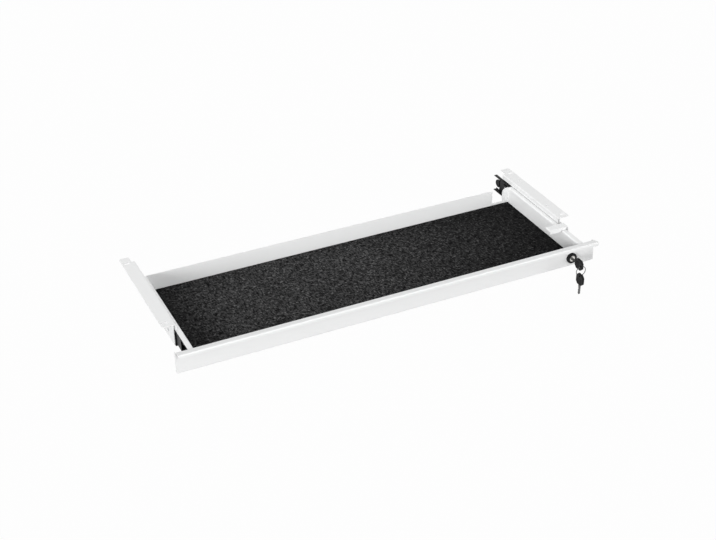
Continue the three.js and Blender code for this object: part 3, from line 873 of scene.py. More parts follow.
@dataclass
class FrontPanel:
    """The panel that closes the drawer's front, folded from one sheet with a grip lip on top."""

    half_width: float = 500.0
    face_y: float = FACE_Y
    bottom_z: float = -63.0
    gauge: float = SHEET
    lip_top_z: float = -7.0
    lip_rise: float = 4.2
    lip_reach: float = 19.5
    lip_drop: float = 8.5
    root_bend: float = 2.0
    lip_bend: float = 2.6
    foot_bend: float = 0.9
    foot_return: float = 10.0
    side_return: float = 8.0
    side_corner: float = 1.5
    lock_x: float = LOCK_X
    lock_z: float = LOCK_Z
    lock_hole: float = LOCK_HOLE
    edge_round: float = 0.28

    def build(self) -> Object:
        """Fold the sheet, weld its side returns and cut the lock's hole.

        Returns:
            The panel.
        """
        half = self.gauge / 2
        face = self.face_y + half
        foot = self.bottom_z + half
        lip_z = self.lip_top_z - half
        lip_y = self.face_y - self.lip_reach + half
        path = [
            (self.face_y + self.foot_return, foot),
            (face, foot, self.foot_bend),
            (face, lip_z - self.lip_rise, self.root_bend),
            (lip_y, lip_z, self.lip_bend),
            (lip_y, self.lip_top_z - self.lip_drop),
        ]
        span = (-self.half_width, self.half_width)
        panel = Bench.folded("front_panel_sheet", Axis.X, span, path, self.gauge)
        top = lip_z - self.lip_rise - self.root_bend
        for side in SIDES.values():
            edge = side * self.half_width
            ends = ordered(edge, edge - side * self.gauge)
            corners = [
                (face, foot), (self.face_y + self.side_return, foot),
                (self.face_y + self.side_return, top, self.side_corner), (face, top),
            ]
            Bench.boolean(panel, Join.ADD, Bench.prism("side_return", Axis.X, ends, corners))
        ends = (self.face_y - CLEAR, self.face_y + CLEAR * 2)
        Bench.drill(panel, Axis.Y, ends, (self.lock_x, self.lock_z), self.lock_hole)
        return Bench.soften(panel, self.edge_round)

    def dress(self, wardrobe: Wardrobe) -> None:
        """Build the panel and give it its finish."""
        wardrobe.dress(self.build(), "white_coat", "drawer", "front_panel")


@dataclass
class Tray:
    """The drawer's tray: a folded tub with outward rims and a plate at each end."""

    inner_half: float = 460.0
    outer_half: float = 461.2
    rim_half: float = 472.5
    rim_top_z: float = -13.6
    floor_z: float = -56.6
    gauge: float = SHEET
    rim_bend: float = 3.0
    floor_bend: float = 0.9
    front_y: float = -225.3
    back_y: float = 83.2
    notch_x: float = 416.0
    notch_z: float = -48.0
    strip_x: float = 444.0
    strip_radius: float = 11.0
    notch_radius: float = 2.0
    notch_lip: float = 2.5
    back_corner: float = 1.0
    front_corner: float = 1.5
    front_top_z: float = -26.0
    lock_x: float = LOCK_X
    lock_z: float = LOCK_Z
    lock_hole: float = LOCK_HOLE
    edge_round: float = 0.25

    def build_tub(self) -> Object:
        """Fold the floor, side walls and rims; the coat covers the ends of the slides' screws.

        Returns:
            The tub.
        """
        half = self.gauge / 2
        wall = self.inner_half + half
        rim = self.rim_top_z - half
        floor = self.floor_z + half
        path = [
            (-self.rim_half, rim), (-wall, rim, self.rim_bend), (-wall, floor, self.floor_bend),
            (wall, floor, self.floor_bend), (wall, rim, self.rim_bend), (self.rim_half, rim),
        ]
        span = (self.front_y + self.gauge, self.back_y - self.gauge)
        tub = Bench.folded("tray_tub", Axis.Y, span, path, self.gauge)
        return Bench.soften(tub, self.edge_round)

    def build_back(self) -> Object:
        """Cut the back plate with its cable notch.

        Returns:
            The back plate.
        """
        outline = [
            (-self.outer_half, self.floor_z), (self.outer_half, self.floor_z),
            (self.outer_half, self.rim_top_z, self.back_corner),
            (self.strip_x, self.rim_top_z, self.strip_radius),
            (self.strip_x, self.notch_z, self.notch_radius),
            (self.notch_x, self.notch_z, self.notch_radius),
            (self.notch_x, self.rim_top_z, self.notch_lip),
            (-self.outer_half, self.rim_top_z, self.back_corner),
        ]
        span = (self.back_y - self.gauge, self.back_y)
        return Bench.soften(Bench.prism("tray_back_plate", Axis.Y, span, outline), self.edge_round)

    def build_front(self) -> Object:
        """Cut the plate behind the front panel, with the lock's hole.

        Returns:
            The front plate.
        """
        outline = [
            (-self.outer_half, self.floor_z), (self.outer_half, self.floor_z),
            (self.outer_half, self.front_top_z, self.front_corner),
            (-self.outer_half, self.front_top_z, self.front_corner),
        ]
        span = (self.front_y, self.front_y + self.gauge)
        plate = Bench.prism("tray_front_plate", Axis.Y, span, outline)
        ends = (span[0] - CLEAR, span[1] + CLEAR)
        Bench.drill(plate, Axis.Y, ends, (self.lock_x, self.lock_z), self.lock_hole)
        return Bench.soften(plate, self.edge_round)

    def dress(self, wardrobe: Wardrobe) -> None:
        """Build the tray's pieces and give them their finish.

        Args:
            wardrobe: holds the finishes and hangs the pieces.
        """
        builds = {"tray": self.build_tub, "tray_back": self.build_back, "tray_front": self.build_front}
        for node, build in builds.items():
            wardrobe.dress(build(), "white_coat", "drawer", node)


@dataclass
class FeltMat:
    """The felt mat that covers the tray's floor."""

    half_width: float = 459.6
    front_y: float = -220.5
    back_y: float = 80.8
    low_z: float = -55.4
    high_z: float = -52.4
    corner: float = 2.0
    edge_round: float = 0.9
    edge_steps: int = 4
    level: float = 0.99

    def build(self) -> Object:
        """Cut the mat to its outline and round its cut edge a little.

        Returns:
            The mat.
        """
        outline = rectangle(-self.half_width, self.front_y, self.half_width, self.back_y, self.corner)
        mat = Bench.prism("felt_mat", Axis.Z, (self.low_z, self.high_z), outline)
        with Bench.edit(mat):
            Bench.choose(
                mat, Kind.EDGE,
                lambda edge: {round(face.normal.z) for face in edge.link_faces} == {0, 1},
            )
            bpy.ops.mesh.bevel(offset=mm(self.edge_round), segments=self.edge_steps, affect="EDGES")
            Bench.choose(mat, Kind.FACE, lambda face: face.normal.z > self.level)
            bpy.ops.mesh.inset(thickness=mm(self.edge_round), depth=0)
        return mat

    def dress(self, wardrobe: Wardrobe) -> None:
        """Args:
            wardrobe: holds the finishes and hangs the pieces.
        """
        mat = wardrobe.dress(self.build(), "black_felt", "drawer", "mat")
        flat = (mm(self.half_width * 2), mm(self.back_y - self.front_y))


@dataclass
class Screw:
    """A crowned screw with a hexagon socket, modelled once and copied to each place."""

    shank: float = 1.9
    head: float = 3.8
    height: float = 1.8
    socket: float = 1.6
    socket_depth: float = 1.0
    edge_round: float = 0.1
    steps: int = 40

    def build(self, length: float) -> Object:
        """Turn the screw at the origin with its head towards +X.

        Args:
            length: the shank's length.

        Returns:
            The screw.
        """
        profile = [
            (0, -length), (self.shank, -length, 0.3), (self.shank, 0), (self.head, 0, 0.15),
            (self.head, self.height * 0.5, 0.6), (self.head * 0.55, self.height, 0.8), (0, self.height),
        ]
        body = Bench.turned("screw", Axis.X, (0, 0), profile, self.steps)
        span = (self.height - self.socket_depth, self.height + CLEAR)
        Bench.drill(body, Axis.X, span, (0, 0), self.socket, HEXAGON)
        return Bench.soften(body, self.edge_round, angle=50)

    @staticmethod
    def put(pattern: Object, name: str, side: int, place: Corner) -> Object:
        """Copy a screw to its place.

        Args:
            pattern: the screw at the origin.
            name: the copy's name.
            side: 1 where the head faces +X, -1 where it faces -X.
            place: where the head's seat is, with X as a distance from the middle.

        Returns:
            The copy in its place.
        """
        twin = Bench.copy(pattern, name)
        twin.rotation_euler = (0, 0, 0 if side > 0 else math.pi)
        twin.location = mm(side * place[0], *place[1:])
        return twin


@dataclass
class DeskBracket:
    """A bracket that hangs from the desk: a slotted plate with a short lip and a web for the slide."""

    label: str
    plate_y: float
    slots_y: Pair
    holes: tuple[Pair, ...] = ()
    under_catch: bool = False
    inner_x: float = 470.0
    outer_x: float = 500.0
    gauge: float = BRACKET_SHEET
    back_y: float = 125.5
    tab_y: float = 147.5
    tab_inset: float = 8.0
    front_corner: float = 4.0
    tab_corner: float = 5.0
    lip_z: float = -12.4
    plan_low_z: float = -30.0
    bend: float = 1.5
    web_x: Pair = (WEB_X, WEB_X + BRACKET_SHEET)
    web_bottom_z: float = -54.5
    web_corner: float = 1.5
    web_setback: float = 0.0
    web_end_setback: float = 0.0
    web_front_y: float = -151.5
    web_low_top_z: float = -9.1
    slot_length: float = 15.0
    slot_width: float = 6.4
    slot_inset: float = 10.0
    hole_radius: float = 2.4
    rail_screws_y: Pair = RAIL_SCREWS_Y
    catch_y: float = -146.0
    catch_screws_z: Pair = CATCH_SCREWS_Z
    screw_z: float = SLIDE_Z
    screw_hole: float = 2.0
    edge_round: float = 0.3

    @property
    def side(self) -> int:
        """The side of the drawer, -1 left and 1 right."""
        return SIDES[self.label]

    def plan(self) -> list[Corner]:
        """List the plate's outline seen from above.

        Returns:
            The outline's corners.
        """
        tab_x = self.inner_x + self.tab_inset
        corners = [
            (self.inner_x, self.plate_y), (self.outer_x, self.plate_y, self.front_corner),
            (self.outer_x, self.tab_y, self.tab_corner), (tab_x, self.tab_y, 1.0),
            (tab_x, self.back_y, 1.2), (self.inner_x, self.back_y),
        ]
        return [(self.side * corner[0], *corner[1:]) for corner in corners]

    def web(self, name: str, front_y: float, back_y: float, top_z: float) -> Object:
        """Make a stretch of the web that the slide is screwed to.

        Args:
            name: the stretch's name.
            front_y: where it starts.
            back_y: where it ends.
            top_z: how high it reaches.

        Returns:
            The stretch as a solid.
        """
        ends = ordered(*(self.side * x for x in self.web_x))
        corners = [
            (front_y, self.web_bottom_z, self.web_corner), (back_y, self.web_bottom_z, self.web_corner),
            (back_y, top_z), (front_y, top_z),
        ]
        return Bench.prism(name, Axis.X, ends, corners)

    def drill(self, bracket: Object, y: float, z: float) -> None:
        """Drill a screw hole across the web."""
        ends = ordered(self.side * (self.web_x[0] - CLEAR), self.side * (self.web_x[1] + CLEAR))
        Bench.drill(bracket, Axis.X, ends, (y, z), self.screw_hole, HOLE_SIDES)

    def build(self) -> Object:
        """Fold the plate, trim it to its outline, weld the web and cut the slots and holes.

        Returns:
            The bracket.
        """
        half = self.gauge / 2
        lip_x = self.inner_x + half
        path = [(self.outer_x, -half), (lip_x, -half, self.bend), (lip_x, self.lip_z)]
        path = [(self.side * corner[0], *corner[1:]) for corner in path]
        span = (self.plate_y, self.tab_y)
        bracket = Bench.folded(f"{self.label}_desk_bracket", Axis.Y, span, path, self.gauge)
        plan = Bench.prism("plan", Axis.Z, (self.plan_low_z, CLEAR), self.plan())
        Bench.boolean(bracket, Join.KEEP, plan)
        web_back_y = self.back_y - self.web_end_setback
        web = self.web("web", self.plate_y + self.web_setback, web_back_y, -half)
        Bench.boolean(bracket, Join.ADD, web)
        if self.under_catch:
            low = self.web("low_web", self.web_front_y, self.plate_y + CLEAR, self.web_low_top_z)
            Bench.boolean(bracket, Join.ADD, low)
        x = self.side * (self.outer_x - self.slot_inset)
        ends = (-CLEAR * 2, CLEAR)
        for y in self.slots_y:
            outline = rectangle(
                x - self.slot_length / 2, y - self.slot_width / 2,
                x + self.slot_length / 2, y + self.slot_width / 2, self.slot_width / 2 - ARC_TRIM,
            )
            Bench.boolean(bracket, Join.CUT, Bench.prism("slot", Axis.Z, ends, outline))
        for place in self.holes:
            Bench.drill(bracket, Axis.Z, ends, place, self.hole_radius, sides=32)
        for y in self.rail_screws_y:
            self.drill(bracket, y, self.screw_z)
        if self.under_catch:
            for z in self.catch_screws_z:
                self.drill(bracket, self.catch_y, z)
        return Bench.soften(bracket, self.edge_round)

    def dress(self, wardrobe: Wardrobe) -> None:
        """Build the bracket and give it its finish."""
        wardrobe.dress(self.build(), "white_coat", "desk_frame", f"{self.label}_bracket")


@dataclass
class CamCatch:
    """The catch on the right bracket: a strap over the tray's rim with a hook for the lock's cam."""

    inner_x: float = 427.0
    leg_x: float = 476.15
    top_z: float = -6.0
    gauge: float = BRACKET_SHEET
    bend: float = 1.6
    curl_drop: float = 3.5
    leg_bottom_z: float = -46.0
    front_y: float = -155.5
    depth: float = 19.0
    hook_x: Pair = (428.6, 457.0)
    hook_z: float = -16.0
    apron_x: float = 472.0
    apron_z: float = -12.8
    screws_z: Pair = CATCH_SCREWS_Z
    screw_hole: float = 2.2
    head_x: float = 476.9
    shank: float = 3.0
    edge_round: float = 0.3

    def build(self) -> Object:
        """Fold the strap, weld the hook to its front edge and drill the screw holes.

        Returns:
            The catch.
        """
        half = self.gauge / 2
        plate_z = self.top_z - half
        path = [
            (self.inner_x + half, self.top_z - self.curl_drop),
            (self.inner_x + half, plate_z, self.bend),
            (self.leg_x, plate_z, self.bend), (self.leg_x, self.leg_bottom_z),
        ]
        span = (self.front_y, self.front_y + self.depth)
        strap = Bench.folded("cam_catch", Axis.Y, span, path, self.gauge)
        hook = Bench.prism("hook", Axis.Y, (self.front_y, self.front_y + self.gauge), [
            (self.hook_x[0], plate_z), (self.hook_x[0], self.hook_z, 1.2),
            (self.hook_x[1], self.hook_z, 1.2), (self.hook_x[1], self.apron_z, 0.8),
            (self.apron_x, self.apron_z, 1.0), (self.apron_x, plate_z),
        ])
        Bench.boolean(strap, Join.ADD, hook)
        for z in self.screws_z:
            place = (self.front_y + self.depth / 2, z)
            Bench.drill(strap, Axis.X, around(self.leg_x), place, self.screw_hole, HOLE_SIDES)
        return Bench.soften(strap, self.edge_round)

    def dress(self, wardrobe: Wardrobe) -> None:
        """Build the catch with its screws and give them their finishes.

        Args:
            wardrobe: holds the finishes and hangs the pieces.
        """
        wardrobe.dress(self.build(), "white_coat", "desk_frame", "lock_catch")
        screw = Screw()
        pattern = screw.build(self.shank)
        middle_y = self.front_y + self.depth / 2
        for i, z in enumerate(self.screws_z, 1):
            twin = screw.put(pattern, f"catch_head_screw_{i}", 1, (self.head_x, middle_y, z))
            wardrobe.dress(twin, "screw_steel", "desk_frame", f"catch_screw_{i}")
        bpy.data.objects.remove(pattern)


@dataclass(frozen=True)
class Section:
    """A slide member's channel section, with insets measured from the bracket's web."""

    height: float
    web: float
    flange_end: float
    gauge: float
    bend: float = 1.1


@dataclass(frozen=True)
class Race:
    """A ball cage with its two rows of balls."""

    section: Section
    ball_inset: float
    ball_offset: float
    ball_radius: float
    start_y: float
    length: float = 110.0
    margin: float = 6.0
    balls: int = 12
    edge_round: float = 0.1


@dataclass
class Slide:
    """A telescopic slide: three channels, two ball cages and the screws that hold it."""

    label: str
    back_x: float = WEB_X
    centre_z: float = SLIDE_Z
    length: float = 300.0
    middle_length: float = 285.0
    outer: Section = Section(40.0, 0.0, 9.0, 1.2)
    middle: Section = Section(31.3, 2.6, 10.5, 1.2)
    inner: Section = Section(20.5, 12.7, 5.5, 1.2)
    outer_y: float = -143.5
    middle_y: float = -173.5
    inner_y: float = -203.5
    outer_race: Race = Race(Section(35.05, 1.6, 7.0, 0.6, 0.8), 5.5, 17.225, 1.275, -90.5)
    inner_race: Race = Race(Section(25.3, 4.2, 10.0, 0.6, 0.8), 7.5, 12.35, 1.8, -118.0)
    end_cut: float = 14.0
    end_cut_half: float = 16.2
    stop_inset: float = 3.6
    stop_radius: float = 9.5
    stop_rim: float = 3.2
    stop_dish: float = 0.8
    stop_gap: float = 0.1
    stop_round: float = 0.35
    rail_screws_y: Pair = RAIL_SCREWS_Y
    tray_screws_y: Pair = (-169.5, 62.5)
    rail_head_x: float = 475.4
    tray_head_x: float = 462.4
    hole: float = 2.2
    access_hole: float = 3.5
    access_shares: tuple[float, ...] = (0.12, 0.45, 0.88)
    edge_round: float = 0.2

    @property
    def side(self) -> int:
        """The side of the drawer, -1 left and 1 right."""
        return SIDES[self.label]

    def x(self, inset: float) -> float:
        """Give the X coordinate at an inset from the bracket's web."""
        return self.side * (self.back_x - inset)

    def channel(self, name: str, section: Section, start_y: float, length: float) -> Object:
        """Fold one channel.

        Args:
            name: the channel's name.
            section: its section.
            start_y: where its front end is.
            length: its length.

        Returns:
            The channel.
        """
        inward = math.copysign(section.gauge / 2, section.flange_end - section.web)
        web = self.x(section.web + inward)
        end = self.x(section.flange_end)
        middle = section.height / 2 - section.gauge / 2
        path = [
            (end, self.centre_z + middle), (web, self.centre_z + middle, section.bend),
            (web, self.centre_z - middle, section.bend), (end, self.centre_z - middle),
        ]
        return Bench.folded(name, Axis.Y, (start_y, start_y + length), path, section.gauge)

    def drill(self, channel: Object, section: Section, rows: Sequence[Pair]) -> None:
        """Drill a channel's web and round its edges.

        Args:
            channel: the channel.
            section: its section.
            rows: the holes' Y coordinates and radii.
        """
        ends = around(self.x(section.web))
        for y, radius in rows:
            Bench.drill(channel, Axis.X, ends, (y, self.centre_z), radius, HOLE_SIDES)
        Bench.soften(channel, self.edge_round)

    def rail_stop(self, cut_y: float, end_y: float) -> Object:
        """Mould the round stop that sits in the cut at the outer channel's back end.

        Args:
            cut_y: where the cut starts.
            end_y: where the channel ends.

        Returns:
            The stop, with a shallow dish in its inner face.
        """
        radius = self.stop_radius
        low, high = around(self.centre_z, radius)
        inner = self.x(self.stop_inset)
        back_y = end_y - self.stop_gap
        stop = Bench.prism(f"{self.label}_end_stop", Axis.X, ordered(inner, self.x(0)), [
            (cut_y, low), (back_y, low, radius - ARC_TRIM), (back_y, high, radius - ARC_TRIM),
            (cut_y, high),
        ])
        place = (end_y - radius, self.centre_z)
        Bench.drill(stop, Axis.X, around(inner, self.stop_dish), place, radius - self.stop_rim)
        return Bench.soften(stop, self.stop_round, segments=3)

    def cage(self, name: str, race: Race) -> Object:
        """Make a ball cage: its channel and the balls in its flanges.

        Args:
            name: the cage's name.
            race: its sizes.

        Returns:
            The cage with its balls.
        """
        strip = self.channel(name, race.section, race.start_y, race.length)
        Bench.soften(strip, race.edge_round)
        Bench.clear()
        bpy.ops.mesh.primitive_ico_sphere_add(subdivisions=2, radius=mm(race.ball_radius))
        ball = bpy.context.object
        pitch = (race.length - race.margin * 2) / (race.balls - 1)
        parts = [strip]
        for row in (-1, 1):
            for i in range(race.balls):
                twin = Bench.copy(ball, "ball")
                y = race.start_y + race.margin + pitch * i
                twin.location = mm(self.x(race.ball_inset), y, self.centre_z + row * race.ball_offset)
                parts.append(twin)
        bpy.data.objects.remove(ball)
        return Bench.fuse(name, parts)

    def dress(self, wardrobe: Wardrobe) -> None:
        """Build the slide and give each piece its finish.

        Args:
            wardrobe: holds the finishes and hangs the pieces.
        """
        label = self.label
        end_y = self.outer_y + self.length
        cut_y = end_y - self.end_cut
        outer_holes = [(y, self.hole) for y in self.rail_screws_y]
        middle_holes = [
            (self.middle_y + share * self.length, self.access_hole) for share in self.access_shares
        ]
        inner_holes = [(y, self.hole) for y in self.tray_screws_y]
        middle_body = f"{label}_middle_rail_body"
        rows = (
            ("outer", self.outer, self.outer_y, self.length, "desk_frame", outer_holes),
            ("middle", self.middle, self.middle_y, self.middle_length, middle_body, middle_holes),
            ("inner", self.inner, self.inner_y, self.length, "drawer", inner_holes),
        )
        for name, section, start_y, length, body, holes in rows:
            member = self.channel(f"{label}_{name}_channel", section, start_y, length)
            if section is self.outer:
                low, high = around(self.centre_z, self.end_cut_half)
                outline = rectangle(cut_y, low, end_y + CLEAR, high)
                tool = Bench.prism("end_cut", Axis.X, around(self.x(0)), outline)
                Bench.boolean(member, Join.CUT, tool)
            self.drill(member, section, holes)
            wardrobe.dress(member, "black_rail", body, f"{label}_{name}_rail")
            if section is self.outer:
                stop = self.rail_stop(cut_y, end_y)
                wardrobe.dress(stop, "black_plastic", "desk_frame", f"{label}_rail_stop")
        for ring, race in (("outer", self.outer_race), ("inner", self.inner_race)):
            cage = self.cage(f"{label}_{ring}_ball_cage", race)
            node = f"{label}_{ring}_cage"
            wardrobe.dress(cage, "ball_steel", f"{node}_body", node)
        self.dress_screws(wardrobe)

    def dress_screws(self, wardrobe: Wardrobe) -> None:
        """Copy the screws of the bracket and of the tray to their places.

        Args:
            wardrobe: holds the finishes and hangs the pieces.
        """
        screw = Screw()
        rows = (
            ("rail", "desk_frame", "white_coat", self.rail_head_x, self.rail_screws_y, 2.7),
            ("tray", "drawer", "screw_steel", self.tray_head_x, self.tray_screws_y, 2.2),
        )
        for kind, body, slot, head_x, places, shank in rows:
            pattern = screw.build(shank)
            for i, y in enumerate(places, 1):
                name = f"{self.label}_{kind}_head_screw_{i}"
                twin = screw.put(pattern, name, self.side, (head_x, y, self.centre_z))
                wardrobe.dress(twin, slot, body, f"{self.label}_{kind}_screw_{i}")
            bpy.data.objects.remove(pattern)


@dataclass
class CamLock:
    """The cam lock in the front panel: rosette, threaded body, nut, plug, cam and its screw."""

    x: float = LOCK_X
    z: float = LOCK_Z
    face_y: float = FACE_Y
    rosette_radius: float = 12.5
    rosette_proud: float = 7.0
    rosette_chamfer: float = 1.6
    neck_radius: float = 7.2
    neck_proud: float = 6.0
    flange_radius: float = 10.5
    flange: float = 2.0
    barrel_radius: float = 9.3
    barrel_length: float = 14.0
    thread_start: float = 5.6
    thread_pitch: float = 1.0
    thread_depth: float = 0.45
    plug_radius: float = 6.0
    plug_proud: float = 6.5
    bore_gap: float = 0.1
    bore_back: float = 0.3
    dish: float = 0.35
    nut_corner: float = 12.7
    nut_chamfer: float = 1.3
    nut_chamfer_height: float = 0.7
    nut_y: Pair = (-224.1, -221.1)
    cam_y: Pair = (-212.2, -210.2)
    cam_hub: float = 8.0
    cam_tip: float = 6.5
    cam_length: float = 32.0
    shank_half: float = 3.0
    keyway_half: Pair = (1.3, 3.8)
    keyway_end_y: float = -219.2
    keyway_reach: float = 10.0
    thread_hole: float = 1.8
    thread_hole_depth: float = 5.3
    screw_head: float = 5.5
    screw_height: float = 2.4
    socket_depth: float = 1.2
    edge_round: float = 0.12
    nut_round: float = 0.15
    cam_round: float = 0.25

    def bar(
        self, name: str, span: Pair, wide: float, tall: float, radius: float | None = None
    ) -> Object:
        """Make a bar with a rectangular section around the lock's axis."""
        outline = rectangle(self.x - wide, self.z - tall, self.x + wide, self.z + tall, radius)
        return Bench.prism(name, Axis.Y, span, outline)

    def ring(self, name: str, profile: Outline) -> Object:
        """Turn a ring around the lock's axis from (radius, distance behind the face) corners."""
        moved = [(corner[0], self.face_y + corner[1], *corner[2:]) for corner in profile]
        return Bench.turned(name, Axis.Y, (self.x, self.z), moved, steps=72)

    def rosette(self) -> Object:
        """Turn the black cover with its chamfered front and a shallow ring round the neck.

        Returns:
            The cover.
        """
        proud = -self.rosette_proud
        chamfer = self.rosette_chamfer
        bore = self.neck_radius + self.bore_back
        recess = self.flange_radius + self.bore_back
        return self.ring("lock_cover", [
            (recess, 0), (self.rosette_radius, 0, 0.3),
            (self.rosette_radius, proud + chamfer, 0.8), (self.rosette_radius - chamfer, proud, 0.8),
            (bore + 1.4, proud, 0.2), (bore + 1.1, proud + self.dish, 0.1),
            (bore, proud + self.dish, 0.2),
            (bore, -self.flange), (recess, -self.flange),
        ])

    def body(self) -> Object:
        """Turn the lock's body, with its flange, neck and the ridges of its thread.

        Returns:
            The body.
        """
        bore = self.plug_radius + self.bore_gap
        ridges: list[Corner] = []
        along = self.thread_start
        while along + self.thread_pitch < self.barrel_length - 0.6:
            ridges.append((self.barrel_radius, along))
            ridges.append((self.barrel_radius - self.thread_depth, along + self.thread_pitch / 2))
            along += self.thread_pitch
        return self.ring("lock_barrel", [
            (bore, -self.neck_proud, 0.3), (self.neck_radius, -self.neck_proud, 0.5),
            (self.neck_radius, -self.flange, 0.2), (self.flange_radius, -self.flange, 0.3),
            (self.flange_radius, 0), (self.barrel_radius, 0),
            *ridges, (self.barrel_radius, along), (self.barrel_radius, self.barrel_length - 0.4),
            (self.barrel_radius - 0.4, self.barrel_length), (bore, self.barrel_length, 0.2),
        ])

    def nut(self) -> Object:
        """Make the hexagon nut with its chamfered corners.

        Returns:
            The nut.
        """
        centre = (self.x, self.z)
        low, high = self.nut_y
        nut = Bench.rod(Axis.Y, self.nut_y, centre, self.nut_corner, HEXAGON)
        nut.name = "lock_hex_nut"
        cone = Bench.turned("cone", Axis.Y, centre, [
            (0, low), (self.nut_corner, low), (self.nut_corner, high - self.nut_chamfer_height),
            (self.nut_corner - self.nut_chamfer, high), (0, high),
        ], steps=60)
        Bench.boolean(nut, Join.KEEP, cone)
        Bench.drill(nut, Axis.Y, (low - 1, high + 1), centre, self.barrel_radius + self.bore_back)
        return Bench.soften(nut, self.nut_round, angle=30)

    def plug(self) -> Object:
        """Turn the plug, square its back end and cut the keyway.

        Returns:
            The plug.
        """
        radius = self.plug_radius
        front = -self.plug_proud
        rear = self.barrel_length + self.bore_back
        plug = self.ring("lock_core", [
            (0, front + self.dish), (radius - 2.2, front + self.dish, 0.3),
            (radius - 1.9, front, 0.15), (radius, front, 0.35), (radius, rear), (0, rear),
        ])
        half = self.shank_half
        ends = (self.cam_y[0] - 0.5, self.cam_y[1])
        Bench.boolean(plug, Join.ADD, self.bar("shank", ends, half, half, 0.3))
        ends = (self.face_y - self.keyway_reach, self.keyway_end_y)
        Bench.boolean(plug, Join.CUT, self.bar("keyway", ends, *self.keyway_half, 0.4))
        ends = (self.cam_y[1] - self.thread_hole_depth, self.cam_y[1] + CLEAR)
        Bench.drill(plug, Axis.Y, ends, (self.x, self.z), self.thread_hole, HOLE_SIDES)
        return Bench.soften(plug, self.edge_round, angle=45)

    def cam(self) -> Object:
        """Cut the cam from flat steel, turned aside to the left.

        Returns:
            The cam.
        """
        tip = self.x - self.cam_length + self.cam_tip
        turns = range(-6, 7)
        step = math.pi / 12
        outline = [
            (middle + radius * math.cos(i * step), self.z + radius * math.sin(i * step))
            for middle, radius in ((self.x, self.cam_hub), (tip, -self.cam_tip)) for i in turns
        ]
        cam = Bench.prism("lock_tongue", Axis.Y, self.cam_y, outline)
        half = self.shank_half + self.bore_gap
        ends = (self.cam_y[0] - CLEAR, self.cam_y[1] + CLEAR)
        Bench.boolean(cam, Join.CUT, self.bar("eye", ends, half, half))
        return Bench.soften(cam, self.cam_round)

    def cam_screw(self) -> Object:
        """Turn the screw that holds the cam, with its hexagon socket.

        Returns:
            The screw.
        """
        back = self.cam_y[1] - self.face_y
        screw = self.ring("tongue_screw", [
            (0, back - 5), (1.5, back - 5, 0.3), (1.5, back), (self.screw_head, back, 0.2),
            (self.screw_head, back + self.screw_height, 0.7), (0, back + self.screw_height),
        ])
        top = self.cam_y[1] + self.screw_height
        ends = (top - self.socket_depth, top + CLEAR)
        Bench.drill(screw, Axis.Y, ends, (self.x, self.z), self.screw_head / 2, HEXAGON)
        return Bench.soften(screw, self.edge_round, angle=45)

    def dress(self, wardrobe: Wardrobe) -> None:
        """Build the lock and give each piece its finish.

        Args:
            wardrobe: holds the finishes and hangs the pieces.
        """
        rows = (
            (self.rosette, "black_plastic", "drawer", "lock_rosette"),
            (self.body, "nickel", "drawer", "lock_body"),
            (self.nut, "nickel", "drawer", "lock_nut"),
            (self.plug, "nickel", "plug", "lock_plug"),
            (self.cam, "screw_steel", "plug", "lock_cam"),
            (self.cam_screw, "screw_steel", "plug", "cam_screw"),
        )
        for build, slot, body, node in rows:
            wardrobe.dress(build(), slot, body, node)


class KeyPose(Enum):
    """How a key lies: pushed towards the lock, or hanging from the ring."""

    IN_LOCK = "main"
    HANGING = "spare"


